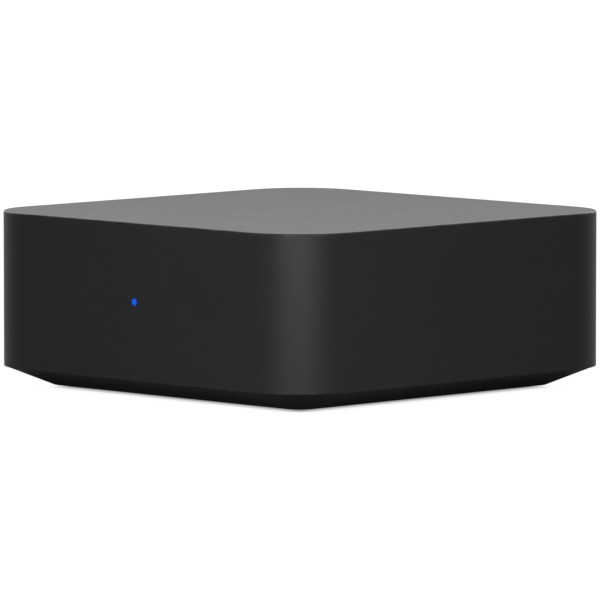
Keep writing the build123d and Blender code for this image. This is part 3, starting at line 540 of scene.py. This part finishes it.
# %% Making a geometry tree
def new_tree(name, inputs):
    """A geometry tree, its named inputs, and its start mesh read as a curve."""
    tree = bpy.data.node_groups.new(name, "GeometryNodeTree")
    for label, kind in {"Geometry": "Geometry", **inputs}.items():
        tree.interface.new_socket(label, in_out="INPUT", socket_type="NodeSocket" + kind)
    tree.interface.new_socket("Geometry", in_out="OUTPUT", socket_type="NodeSocketGeometry")
    nodes = Nodes(tree)
    source = tree.nodes.new("NodeGroupInput")
    given = {socket.name: Wire(nodes, socket) for socket in source.outputs if socket.name}
    return nodes, given, nodes.add("GeometryNodeMeshToCurve", {"Mesh": given["Geometry"]})


def with_tool(nodes, operation, shape, tool):
    """Adds a tool object to a shape with UNION, or cuts it away with DIFFERENCE."""
    tool = nodes.add("GeometryNodeObjectInfo", {"Object": tool}, out="Geometry")
    sockets = {"Mesh 2": [shape, tool]}
    if operation == "DIFFERENCE":
        sockets = {"Mesh 1": shape, "Mesh 2": tool}
    return nodes.add("GeometryNodeMeshBoolean", sockets, "Mesh", operation=operation, solver="EXACT")


def close_tree(nodes, shape, material):
    """Makes copies real, sets the finish and joins the result to the output."""
    shape = nodes.add("GeometryNodeRealizeInstances", {"Geometry": shape})
    shape = nodes.add("GeometryNodeSetMaterial", {"Geometry": shape, "Material": material})
    nodes.add("NodeGroupOutput", {"Geometry": shape})
    print("tree", nodes.tree.name, "has", len(nodes.tree.nodes), "nodes")
    return nodes.tree


print("trees can be made")

# %% [markdown]
# A tree works as a modifier on an object. The modifier could stay live, but every later
# step would run it again, and the export wants plain meshes. So the result of a tree is
# kept as soon as it is made.

# %% Running a geometry tree
def settled(thing):
    """Keeps what the modifiers make as a plain mesh."""
    bpy.context.view_layer.update()
    shape = thing.evaluated_get(bpy.context.evaluated_depsgraph_get())
    mesh = bpy.data.meshes.new_from_object(shape)
    thing.modifiers.clear()
    thing.data = mesh
    return thing


def linked(name, data):
    """A new object for a mesh or a lamp, in the scene."""
    thing = bpy.data.objects.new(name, data)
    scene.collection.objects.link(thing)
    return thing


def grown(name, tree, start, values):
    """Runs a tree on a start mesh, and keeps its result as a plain mesh."""
    thing = linked(name, start)
    shape = thing.modifiers.new("shape", "NODES")
    shape.node_group = tree
    names = {i.name: i.identifier for i in tree.interface.items_tree if i.in_out == "INPUT"}
    for label, value in values.items():
        shape[names[label]] = value
    return settled(thing)


print("trees can be run")

# %% [markdown]
# Real edges are never sharp. Each could be rounded by hand, but a narrow bevel on every
# edge over a given angle rounds them all alike, and weighted normals keep the wide faces
# flat in the light. A finished piece then joins its CAD body. Each piece is a closed skin,
# which the count of open edges confirms.

# %% Rounding edges and handing a piece over
def smoothed(thing, angle, bevel=0.0):
    """Rounds edges sharper than the angle in degrees, and shades the rest smoothly."""
    if bevel:
        rounding = thing.modifiers.new("edges", "BEVEL")
        rounding.width = bevel
        rounding.segments = 2
        rounding.limit_method = "ANGLE"
        rounding.angle_limit = math.radians(angle)
        settled(thing)
    thing.data.shade_smooth()
    thing.data.set_sharp_from_angle(angle=math.radians(angle))
    weighted = thing.modifiers.new("shading", "WEIGHTED_NORMAL")
    weighted.keep_sharp = True
    return settled(thing)


def finished(thing, nodes_replaced, body="streamer"):
    """Hands a finished piece to its body and hides what it stands for."""
    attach(thing, body)
    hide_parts(*nodes_replaced)
    sides = Counter(key for face in thing.data.polygons for key in face.edge_keys)
    loose = sum(count != 2 for count in sides.values())
    print(thing.name, "has", len(thing.data.polygons), "faces and", loose, "open edges")


print("pieces can be rounded and handed over")

# %% [markdown]
# The first tree sweeps a section around the plan. Its caps could be drawn apart, but then
# their corners would miss those of the wall. So they are cut from the rim of the swept
# wall, where an edge in the upper half has only one face, and they meet it point for point.

# %% The tree that carries a section around the plan
seam_gap = 0.01 * mm

nodes, given, section = new_tree("section_around_plan", {
    "Half Width": "Float", "Corner Radius": "Float", "Corner Steps": "Int",
    "Upper Cap": "Float", "Lower Cap": "Float", "Moulded On": "Object", "Cut Away": "Object",
    "Finish": "Material",
})
width = given["Half Width"] * 2.0
square = nodes.add("GeometryNodeCurvePrimitiveQuadrilateral", {"Width": width, "Height": width})
sockets = {"Curve": square, "Count": given["Corner Steps"], "Radius": given["Corner Radius"]}
plan = nodes.add("GeometryNodeFilletCurve", sockets, mode="POLY")
walls = nodes.add("GeometryNodeCurveToMesh", {"Curve": plan, "Profile Curve": section})
faces_beside = nodes.add("GeometryNodeInputMeshEdgeNeighbors")
x, y, z = nodes.parted(nodes.add("GeometryNodeInputPosition"))
upper_half = nodes.maths("GREATER_THAN", z, (given["Upper Cap"] + given["Lower Cap"]) * 0.5)
on_rim = (1 - abs(faces_beside - 1.0)).most(0.0) * upper_half
rim = nodes.add("GeometryNodeMeshToCurve", {"Mesh": walls, "Selection": on_rim})
cap = nodes.add("GeometryNodeFillCurve", {"Curve": rim}, mode="NGONS")
caps = []
for label in ("Upper Cap", "Lower Cap"):
    lift = nodes.add("ShaderNodeCombineXYZ", {"Z": given[label]})
    level = nodes.add("GeometryNodeTransform", {"Geometry": cap, "Translation": lift})
    caps.append(level)
caps[1] = nodes.add("GeometryNodeFlipFaces", {"Mesh": caps[1]})
shape = nodes.add("GeometryNodeJoinGeometry", {"Geometry": [walls] + caps})
shape = nodes.add("GeometryNodeMergeByDistance", {"Geometry": shape, "Distance": seam_gap})
shape = with_tool(nodes, "UNION", shape, given["Moulded On"])
shape = with_tool(nodes, "DIFFERENCE", shape, given["Cut Away"])
plan_tree = close_tree(nodes, shape, given["Finish"])

# %% [markdown]
# A section is a line of points, each an inset from the outline and a height, just as a
# draughtsman would note it. Blocks and round bars serve as tools: the tree adds them or
# cuts them away. They could stay in the scene hidden, but hidden objects confuse whoever
# opens it, so each is noted as scratch and removed at the end.

# %% Sections and tools
bar_steps = 48
scratch_objects = []


def scratch(name, mesh):
    """An object that only the trees look at."""
    thing = linked(name, mesh)
    scratch_objects.append(thing)
    return thing


def mesh_from(name, build):
    """A plain mesh with the shape of an edit mesh, which is freed."""
    mesh = bpy.data.meshes.new(name)
    build.to_mesh(mesh)
    build.free()
    return mesh


def plain_mesh(name, points, edges=(), faces=()):
    """A mesh with the given points, edges and faces."""
    mesh = bpy.data.meshes.new(name)
    mesh.from_pydata([tuple(point) for point in points], edges, faces)
    return mesh


def line_mesh(name, points, closed=False):
    """A mesh of points, each joined to the next."""
    count = len(points)
    edges = [(i, (i + 1) % count) for i in range(count if closed else count - 1)]
    return plain_mesh(name, points, edges)


def section_mesh(name, points, closed=False):
    """A line of points, each an inset and a height, laid out as a sweep reads it."""
    return line_mesh(name, [(-inset, -height, 0) for inset, height in points], closed)


def arc(middle, radius, start, end, steps=6):
    """Points of a moulded radius, from a start angle to an end angle in degrees."""
    turns = [math.radians(start + (end - start) * i / steps) for i in range(steps + 1)]
    return [(middle[0] + radius * math.cos(a), middle[1] + radius * math.sin(a)) for a in turns]


def tool_object(name, blocks=(), bars=()):
    """Closed blocks from corner to corner, and round bars from end to end."""
    build = bmesh.new()
    for low, high in blocks:
        low, high = Vector(low), Vector(high)
        place = Matrix.Translation((low + high) / 2) @ Matrix.Diagonal((*(high - low), 1))
        bmesh.ops.create_cube(build, size=1, matrix=place)
    for start, end, radius in bars:
        start, end = Vector(start), Vector(end)
        turn = (end - start).to_track_quat("Z", "Y").to_matrix().to_4x4()
        bmesh.ops.create_cone(
            build, cap_ends=True, segments=bar_steps, radius1=radius, radius2=radius,
            depth=(end - start).length, matrix=Matrix.Translation((start + end) / 2) @ turn,
        )
    return scratch(name, mesh_from(name, build))


def upright(place, radius, low, high):
    """A round bar along Z, for a tool."""
    return ((place.x, place.y, low), (place.x, place.y, high), radius)


print("sections and tools are ready")

# %% [markdown]
# ### The casing
# The top shell is the roof and four walls in one moulding, 2.5 mm thick, with a crisp
# 0.4 mm radius around the roof. In the rear wall a recess for the plugs runs 9.5 mm deep,
# and its tunnel is moulded on. A round hole in the front takes the light pipe.
# A box with Bevel and Solidify modifiers would be quicker, but one bevel width would then
# serve every edge. The drawn section sets each radius and the wall's thickness by itself.

# %% Top shell
wall = 2.5 * mm
roof_edge_radius = 0.4 * mm
lower_edge_radius = 0.2 * mm
edge_break = 0.15 * mm
recess_wall = 2.0 * mm
panel_lap = 1.5 * mm
pipe_gap = 0.05 * mm
overrun = 1.0 * mm
corner_steps = 32
cap_margin = 0.7 * mm

roof_z = top_z - wall
cap_inset = base_inset + cap_margin
casing_section = [(cap_inset, top_z)]
casing_section += arc((roof_edge_radius, top_z - roof_edge_radius), roof_edge_radius, 90, 180)
lower_middle = (lower_edge_radius, edge_z + lower_edge_radius)
casing_section += arc(lower_middle, lower_edge_radius, 180, 270, steps=3)
casing_section += [(wall, edge_z), (wall, roof_z), (cap_inset, roof_z)]

panel_low, panel_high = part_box("rear_panel")
panel_face = panel_high.y
recess_x = panel_high.x - panel_lap
recess_low = panel_low.z + panel_lap
recess_high = panel_high.z - panel_lap
tunnel = tool_object("tunnel", [(
    (-recess_x - recess_wall, panel_face, recess_low - recess_wall),
    (recess_x + recess_wall, half - wall / 2, recess_high + recess_wall),
)])
openings = tool_object(
    "openings",
    [((-recess_x, panel_face - overrun, recess_low), (recess_x, half + overrun, recess_high))],
    [((0, -half - overrun, light_z), (0, -half + wall + overrun, light_z), pipe_radius + pipe_gap)],
)
casing = grown("top_casing", plan_tree, section_mesh("casing_section", casing_section), {
    "Half Width": half, "Corner Radius": corner_radius, "Corner Steps": corner_steps,
    "Upper Cap": top_z, "Lower Cap": roof_z, "Moulded On": tunnel, "Cut Away": openings,
    "Finish": finishes["casing_plastic"],
})
finished(smoothed(casing, angle=30, bevel=edge_break), ["top_shell"])

# %% [markdown]
# ### The tray
# The tray closes the box from below. Its black is the casing's, painted darker as painted
# shade for the underside. It tapers in by 14.5 mm all around, so that from the side only a
# thin shadow line shows. A tongue on top of it fits inside the casing. It is drawn as a
# section too, because the taper, the tongue and the flat floor then follow the same round
# corners as the casing does, with one even gap between them.

# %% The section of the tray
tray_floor = 2.4 * mm
tray_rim = 6.7 * mm
tongue_gap = 0.15 * mm
tongue_thickness = 1.6 * mm
tongue_height = 2.6 * mm

floor_z = base_z + tray_floor
tongue_outer = wall + tongue_gap
tongue_inner = tongue_outer + tongue_thickness
tongue_top = edge_z + tongue_height
slope = (edge_z - base_z) / (base_inset - tray_inset)
tray_section = [(cap_inset, floor_z), (base_inset, floor_z), (tray_rim, edge_z)]
tray_section += [(tongue_inner, edge_z), (tongue_inner, tongue_top), (tongue_outer, tongue_top)]
tray_section += [(tongue_outer, edge_z), (tray_inset + edge_break, edge_z)]
tray_section += [(tray_inset, edge_z - edge_break)]
tray_section += [(base_inset - edge_break, base_z + edge_break * slope)]
tray_section += [(base_inset + edge_break, base_z), (cap_inset, base_z)]
print("the tray's section has", len(tray_section), "points and a slope of", round(slope, 3))

# %% [markdown]
# Posts stand on the floor of the tray and carry the boards, and round pockets in its
# underside take the feet and the screw heads. Each could be modelled in the mesh, vertex
# by vertex. Bars at the measured places are simpler, and they follow the frame.

# %% Base tray
foot_gap = 0.1 * mm
head_room = 0.35 * mm
screw_head_height = 2.0 * mm
screw_head_radius = 2.75 * mm
post_radius = 4.5 * mm
standoff_radius = 3.0 * mm

foot_boxes = solids_of("rubber_feet")
foot_top = foot_boxes[0][1].z
foot_radius = (foot_boxes[0][1].x - foot_boxes[0][0].x) / 2
foot_places = [middle_of(corners) for corners in foot_boxes]
screw_boxes = solids_of("case_screws")
screw_low = screw_boxes[0][0].z
screw_places = [middle_of(corners) for corners in screw_boxes]
board_places = [middle_of(corners) for corners in solids_of("board_screws")]

posts = [upright(place, post_radius, floor_z - overrun, board_z) for place in screw_places]
posts += [upright(place, standoff_radius, floor_z - overrun, board_z) for place in board_places]
pockets = [upright(place, foot_radius + foot_gap, -overrun, foot_top) for place in foot_places]
pocket_radius = screw_head_radius + head_room
pocket_top = screw_low + screw_head_height
pockets += [upright(place, pocket_radius, -overrun, pocket_top) for place in screw_places]
tray = grown("base_shell", plan_tree, section_mesh("tray_section", tray_section), {
    "Half Width": half, "Corner Radius": corner_radius, "Corner Steps": corner_steps,
    "Upper Cap": floor_z, "Lower Cap": base_z, "Moulded On": tool_object("posts", bars=posts),
    "Cut Away": tool_object("pockets", bars=pockets), "Finish": finishes["base_plastic"],
})
finished(smoothed(tray, angle=20), ["base_tray"])

# %% [markdown]
# ## Turned pieces
# Feet, screws and phono sockets are round. A lathe would turn each from a section. The Spin
# tool could do that once for each, but the next tree does it for all of them: it turns a
# section and sets a copy at each place.

# %% The tree that turns a section and repeats it
turned_steps = 64
as_drawn = (0, 0, 0)
upside_down = (180, 0, 0)
facing_rear = (-90, 0, 0)

nodes, given, section = new_tree("turned_at_places", {
    "Radius": "Float", "Steps": "Int", "Places": "Object", "Turn": "Vector", "Cut Away": "Object",
    "Finish": "Material",
})
sockets = {"Resolution": given["Steps"], "Radius": given["Radius"]}
ring = nodes.add("GeometryNodeCurvePrimitiveCircle", sockets)
shape = nodes.add("GeometryNodeCurveToMesh", {"Curve": ring, "Profile Curve": section})
shape = nodes.add("GeometryNodeMergeByDistance", {"Geometry": shape, "Distance": merge_gap})
shape = with_tool(nodes, "DIFFERENCE", shape, given["Cut Away"])
spots = nodes.add("GeometryNodeObjectInfo", {"Object": given["Places"]}, out="Geometry")
sockets = {"Points": spots, "Instance": shape, "Rotation": given["Turn"]}
shape = nodes.add("GeometryNodeInstanceOnPoints", sockets)
turned_tree = close_tree(nodes, shape, given["Finish"])


def points_object(name, places):
    """One point for each copy."""
    return scratch(name, plain_mesh(name, places))


def turned(name, replaced, points, places, turn, finish, angle=40, cut=None, closed=False):
    """A section of radii and heights, turned about its axis and set at each place."""
    radius = max(point[0] for point in points)
    insets = [(radius - r, height) for r, height in points]
    piece = grown(name, turned_tree, section_mesh(name + "_section", insets, closed), {
        "Radius": radius, "Steps": turned_steps, "Places": points_object(name + "_places", places),
        "Turn": [math.radians(degrees) for degrees in turn],
        "Cut Away": cut or points_object(name + "_uncut", []), "Finish": finishes[finish],
    })
    finished(smoothed(piece, angle), replaced)


# %% [markdown]
# ### The feet
# The rubber feet are glued into their pockets and lift the tray 0.8 mm. The underside of
# each has a shallow dish, so that it grips with its rim. A plain disc would do for a view
# from above, but the underside shows too, and in a turned section the dish costs one arc.

# %% Rubber feet
foot_edge_radius = 0.45 * mm
dish_radius = 3.6 * mm
dish_depth = 0.25 * mm

foot_section = [(0, foot_top), (foot_radius, foot_top)]
foot_section += arc((foot_radius - foot_edge_radius, foot_edge_radius), foot_edge_radius, 0, -90)
foot_section += arc((dish_radius + dish_depth, dish_depth), dish_depth, -90, -180, steps=3)
foot_section += [(0, dish_depth)]
ground_places = [(place.x, place.y, 0) for place in foot_places]
turned("feet", ["rubber_feet"], foot_section, ground_places, as_drawn, "rubber")

# %% [markdown]
# ### The screws
# The screws have low domed heads with a cross recess. A bump can't draw a hole that deep,
# so it is cut: two crossed blades that narrow towards their tips go into the head, as the
# punch does that forms it. The shank is plain, because it sits out of sight in a post.

# %% Blades and sections for screws
blade_taper = 0.8
dome_share = 0.6
tip_share = 0.3


def cross_blades(name, width, reach, depth):
    """Two crossed blades, from above a screw head down to their narrower tips."""
    side = width / 2
    outline = []
    for quarter in range(4):
        turn = Matrix.Rotation(math.radians(90 * quarter), 2)
        outline += [turn @ Vector(corner) for corner in ((side, side), (side, reach), (-side, reach))]
    count = len(outline)
    points = [(x, y, overrun) for x, y in outline]
    points += [(x * blade_taper, y * blade_taper, -depth) for x, y in outline]
    upper = list(range(count))
    lower = [i + count for i in upper]
    following = upper[1:] + upper[:1]
    sides = [(i + count, j + count, j, i) for i, j in zip(upper, following)]
    return scratch(name, plain_mesh(name, points, faces=[upper, lower[::-1]] + sides))


def screw_section(head, height, shank, length):
    """A low domed head and a plain shank, drawn from the top down."""
    crown = height * dome_share
    turns = [math.radians(angle) for angle in range(0, 91, 15)]
    dome = [(head * math.sin(a), crown * (math.cos(a) - 1)) for a in turns]
    tip = shank * tip_share
    body = [(head, -height), (shank, -height), (shank, -length + tip)]
    return dome + body + [(shank - tip, -length), (0, -length)]


print("screws can be drawn")

# %% [markdown]
# Four screws hold the tray to the casing from below, and one smaller screw holds the panel
# at the rear. Both kinds could be modelled apart, but they differ only in size. So they
# share one section, and the frame gives their lengths and places.

# %% Screws
screw_angle = 30
case_shank = 1.5 * mm
case_length = screw_boxes[0][1].z - screw_low
case_section = screw_section(screw_head_radius, screw_head_height, case_shank, case_length)
case_spots = [(place.x, place.y, screw_low) for place in screw_places]
case_cut = cross_blades("case_blades", width=0.75 * mm, reach=1.7 * mm, depth=1.1 * mm)
turned("tray_screws", ["case_screws"], case_section, case_spots, upside_down, "screw_steel",
       angle=screw_angle, cut=case_cut)

panel_shank = 1.1 * mm
panel_head_height = 1.4 * mm
fixing_low, fixing_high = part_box("panel_screw")
fixing_length = fixing_high.y - fixing_low.y
fixing_head = (fixing_high.x - fixing_low.x) / 2
fixing_section = screw_section(fixing_head, panel_head_height, panel_shank, fixing_length)
fixing_place = middle_of((fixing_low, fixing_high))
fixing_cut = cross_blades("panel_blades", width=0.6 * mm, reach=1.25 * mm, depth=0.8 * mm)
fixing_spots = [(fixing_place.x, fixing_high.y, fixing_place.z)]
turned("panel_fixing", ["panel_screw"], fixing_section, fixing_spots, facing_rear, "screw_steel",
       angle=screw_angle, cut=fixing_cut)

# %% [markdown]
# ### The phono sockets
# A phono socket is a plated tube with a rolled mouth and a fine groove around it. Three
# cylinders of different width could be stacked for each, but their seams would show in the
# bright nickel. One closed section gives bore, mouth, groove and root in a single skin.

# %% Phono sleeves
sleeve_wall = 0.8 * mm
root_step = 0.4 * mm
lip_radius = 0.3 * mm
groove_depth = 0.08 * mm
groove_width = 0.5 * mm
groove_back = 4.0 * mm

sleeve_low, sleeve_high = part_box("coax_sleeve")
sleeve_radius = (sleeve_high.x - sleeve_low.x) / 2
sleeve_length = sleeve_high.y - sleeve_low.y
bore = sleeve_radius - sleeve_wall
root_radius = sleeve_radius - root_step
root_length = panel_face - sleeve_low.y
groove = sleeve_length - groove_back
tube = [(bore, 0), (root_radius, 0), (root_radius, root_length), (sleeve_radius, root_length)]
tube += [(sleeve_radius, groove - groove_width), (sleeve_radius - groove_depth, groove - groove_width)]
tube += [(sleeve_radius - groove_depth, groove), (sleeve_radius, groove)]
tube += arc((sleeve_radius - lip_radius, sleeve_length - lip_radius), lip_radius, 0, 180)
tube += [(bore, sleeve_length - 2 * lip_radius)]

sockets_at = {}
for node in ("coax_insulator", "right_insulator", "left_insulator"):
    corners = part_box(node)
    sockets_at[node] = middle_of(corners)
    sockets_at[node].y = corners[0].y
sleeve_nodes = ["coax_sleeve", "line_out_sleeves"]
places = sockets_at.values()
turned("socket_sleeves", sleeve_nodes, tube, places, facing_rear, "nickel", closed=True)

# %% [markdown]
# A coloured ring of plastic holds the gold contact in the middle of each socket: orange for
# digital, red for right, white for left. The rings could share one mesh with three
# materials, but they are three parts in the real sockets, so they are three pieces here.

# %% Phono rings
seat_gap = 0.02 * mm
ring_edge = 0.2 * mm
ring_land = 0.6 * mm
ring_dish = 0.45 * mm

ring_low, ring_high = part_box("coax_insulator")
contact_low, contact_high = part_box("coax_contact")
ring_length = ring_high.y - ring_low.y
ring_bore = (contact_high.x - contact_low.x) / 2 + seat_gap
ring_outer = bore - seat_gap
ring_section = [(ring_bore, 0), (ring_outer, 0)]
ring_section += arc((ring_outer - ring_edge, ring_length - ring_edge), ring_edge, 0, 90, steps=3)
ring_section += [(ring_outer - ring_land, ring_length), (ring_bore, ring_length - ring_dish)]
for name, node, finish in (
    ("digital_ring", "coax_insulator", "orange_plastic"),
    ("right_ring", "right_insulator", "red_plastic"),
    ("left_ring", "left_insulator", "white_plastic"),
):
    turned(name, [node], ring_section, [sockets_at[node]], facing_rear, finish, closed=True)

# %% [markdown]
# ## The light pipe
# A clear rod carries the light of a diode on the board to the front wall. It bends once,
# and a collar stops it behind the wall. A curve with a round bevel would give the rod, but
# not the collar as one skin with it. The tree carries a circle along the path and joins
# the collar on, so the piece stays closed.

# %% Light pipe
nodes, given, path = new_tree("rod_along_path", {
    "Radius": "Float", "Steps": "Int", "Moulded On": "Object", "Finish": "Material",
})
sockets = {"Resolution": given["Steps"], "Radius": given["Radius"]}
ring = nodes.add("GeometryNodeCurvePrimitiveCircle", sockets)
sockets = {"Curve": path, "Profile Curve": ring, "Fill Caps": True}
shape = nodes.add("GeometryNodeCurveToMesh", sockets)
shape = with_tool(nodes, "UNION", shape, given["Moulded On"])
rod_tree = close_tree(nodes, shape, given["Finish"])

bend_radius = 4.0 * mm
collar_thickness = 1.2 * mm
pipe_edge = 0.08 * mm
collar_start = -half + wall
collar_end = collar_start + collar_thickness
column_y = pipe_high.y - pipe_radius
bend_middle = (column_y - bend_radius, light_z - bend_radius)
run = [(-half, light_z)] + arc(bend_middle, bend_radius, 90, 0, steps=10) + [(column_y, pipe_low.z)]
collar = tool_object("collar", bars=[((0, collar_start, light_z), (0, collar_end, light_z), collar_radius)])
pipe = grown("light_window", rod_tree, line_mesh("pipe_path", [(0, y, z) for y, z in run]), {
    "Radius": pipe_radius, "Steps": bar_steps, "Moulded On": collar,
    "Finish": finishes["clear_acrylic"],
})
finished(smoothed(pipe, angle=40, bevel=pipe_edge), ["light_pipe"])

# %% [markdown]
# ## Moulded and pressed pieces at the rear
# The panel and the sockets are right in the CAD, except that real mouldings have tiny
# radii at their edges, which catch the light. They could be modelled anew, but that would
# only repeat the drawing. So a copy of each CAD mesh is merged, freed of its inner
# triangles, and bevelled.

# %% Softened copies of CAD pieces
flat_angle = math.radians(0.5)
soft_angle = 35


def softened(name, node, finish, bevel, body="streamer"):
    """A copy of a CAD node with rounded edges, in place of it."""
    faces = [tuple(face.vertices) for face in frame["nodes"][node].data.polygons]
    mesh = plain_mesh(name, points_of(node), faces=faces)
    build = bmesh.new()
    build.from_mesh(mesh)
    bmesh.ops.remove_doubles(build, verts=build.verts, dist=merge_gap)
    bmesh.ops.dissolve_limit(build, angle_limit=flat_angle, verts=build.verts, edges=build.edges)
    build.to_mesh(mesh)
    build.free()
    mesh.materials.append(finishes[finish])
    finished(smoothed(linked(name, mesh), soft_angle, bevel), [node], body)


softened("socket_panel", "rear_panel", "panel_plastic", bevel=0.15 * mm)
softened("mains_socket", "inlet_housing", "moulded_black", bevel=0.25 * mm)
softened("mains_pins", "inlet_pins", "nickel", bevel=0.0)
softened("network_shell", "ethernet_shell", "tin_plate", bevel=0.06 * mm)
softened("network_insert", "ethernet_insert", "moulded_black", bevel=0.12 * mm)
softened("optical_frame", "optical_housing", "moulded_black", bevel=0.12 * mm)
softened("optical_flap", "optical_shutter", "moulded_black", bevel=0.06 * mm, body="shutter")
softened("setup_cap", "button_cap", "moulded_black", bevel=0.05 * mm, body="setup_button")
softened("digital_contact", "coax_contact", "gold_plate", bevel=0.04 * mm)
softened("analogue_contacts", "line_out_contacts", "gold_plate", bevel=0.04 * mm)

# %% [markdown]
# ## What stays as the CAD made it
# The boards and their parts are inside the closed box. Finer copies of them would cost
# faces that no view shows, so their shapes stay, and each takes the finish that the record
# names for it.

# %% Finishes for the other CAD pieces
for part in frame["record"]["subparts"]:
    thing = frame["nodes"][part["node"]]
    if not thing.material_slots:
        thing.data.materials.append(None)
    for slot in thing.material_slots:
        slot.material = finishes[part["material_slot"]]
print(len(frame["nodes"]), "CAD pieces have a finish")

# %% [markdown]
# ## The studio
# The floor is a pale sweep that turns into the white background. Bright paper would do, but
# it would throw much light back on a black object. So the paper is dim and takes the soft
# shadow, and a white glow is added only for the rays that look at it. Under the object the
# glow fades as a painted shadow: well inside the outline for the eye, and near the outline
# for gloss, which looks into the dark wedge below the tray.

# %% Floor
def light_path(nodes, *kinds):
    """1 for rays of the named kinds."""
    total = 0.0
    for kind in kinds:
        total = nodes.add("ShaderNodeLightPath", out="Is " + kind + " Ray").most(total)
    return total


paper_tone = 0.12
white_glow = 0.97
glow_in_gloss = 0.25
eye_painted_shadow = (25 * mm, 12 * mm)
gloss_painted_shadow = (9 * mm, -5 * mm)
floor_reach = 6.0
floor_squares = 8

studio_paper = bpy.data.materials.new("studio_paper")
nodes = emptied(studio_paper)
inset, z = inset_of(nodes, nodes.add("ShaderNodeTexCoord", out="Object"))
# Painted shadow: the white glow fades out beneath the object, by the distance in from its outline.
seen = light_path(nodes, "Camera", "Transmission") * inset.step(*eye_painted_shadow)
mirrored = light_path(nodes, "Glossy") * inset.step(*gloss_painted_shadow) * glow_in_gloss
paper = nodes.add("ShaderNodeBsdfDiffuse", {"Color": grey(paper_tone)})
glow = seen.most(mirrored) * white_glow
white = nodes.add("ShaderNodeEmission", {"Color": grey(1.0), "Strength": glow})
sheet = nodes.add("ShaderNodeAddShader", {0: paper, 1: white})
nodes.add("ShaderNodeOutputMaterial", {"Surface": sheet})

build = bmesh.new()
bmesh.ops.create_grid(build, x_segments=floor_squares, y_segments=floor_squares, size=floor_reach)
floor_mesh = mesh_from("studio_floor", build)
floor_mesh.materials.append(studio_paper)
studio_floor = linked("studio_floor", floor_mesh)
print("floor", 2 * floor_reach, "m wide")

# %% [markdown]
# Four soft boxes light the object. One hangs overhead. A low one on the camera's side
# puts the broad shine on the front corner. Two stand behind to the left and the right and
# light the rear walls. One straight behind would be simpler, but the roof would mirror it
# towards the camera. The world is white to look at and dim as a light.

# %% World and lamps
world_light = 0.40

scene.world = bpy.data.worlds.new("studio")
nodes = emptied(scene.world)
shown = light_path(nodes, "Camera", "Glossy", "Transmission")
strength = world_light + shown * (1 - world_light)
sky = nodes.add("ShaderNodeBackground", {"Color": grey(1.0), "Strength": strength})
nodes.add("ShaderNodeOutputWorld", {"Surface": sky})


def soft_box(name, place, width, height, watts):
    """A rectangular lamp that looks at the object."""
    data = bpy.data.lights.new(name, "AREA")
    data.shape = "RECTANGLE"
    data.size = width
    data.size_y = height
    data.energy = watts
    thing = linked(name, data)
    thing.location = place
    thing.rotation_euler = (camera_aim - Vector(place)).to_track_quat("-Z", "Y").to_euler()


soft_box("overhead", place=(0, 0, 1.6), width=1.4, height=1.4, watts=11)
soft_box("low_front", place=(0.235, -0.25, 0.09), width=0.30, height=0.12, watts=1.15)
soft_box("rear_left", place=(-1.4, 0.4, 0.5), width=0.8, height=0.8, watts=5)
soft_box("rear_right", place=(-0.4, 1.4, 0.5), width=0.8, height=0.8, watts=5)
scene.view_settings.view_transform = "Standard"

# %% [markdown]
# The scratch objects that the trees used are removed.

# %% The end
for thing in scratch_objects:
    bpy.data.objects.remove(thing)
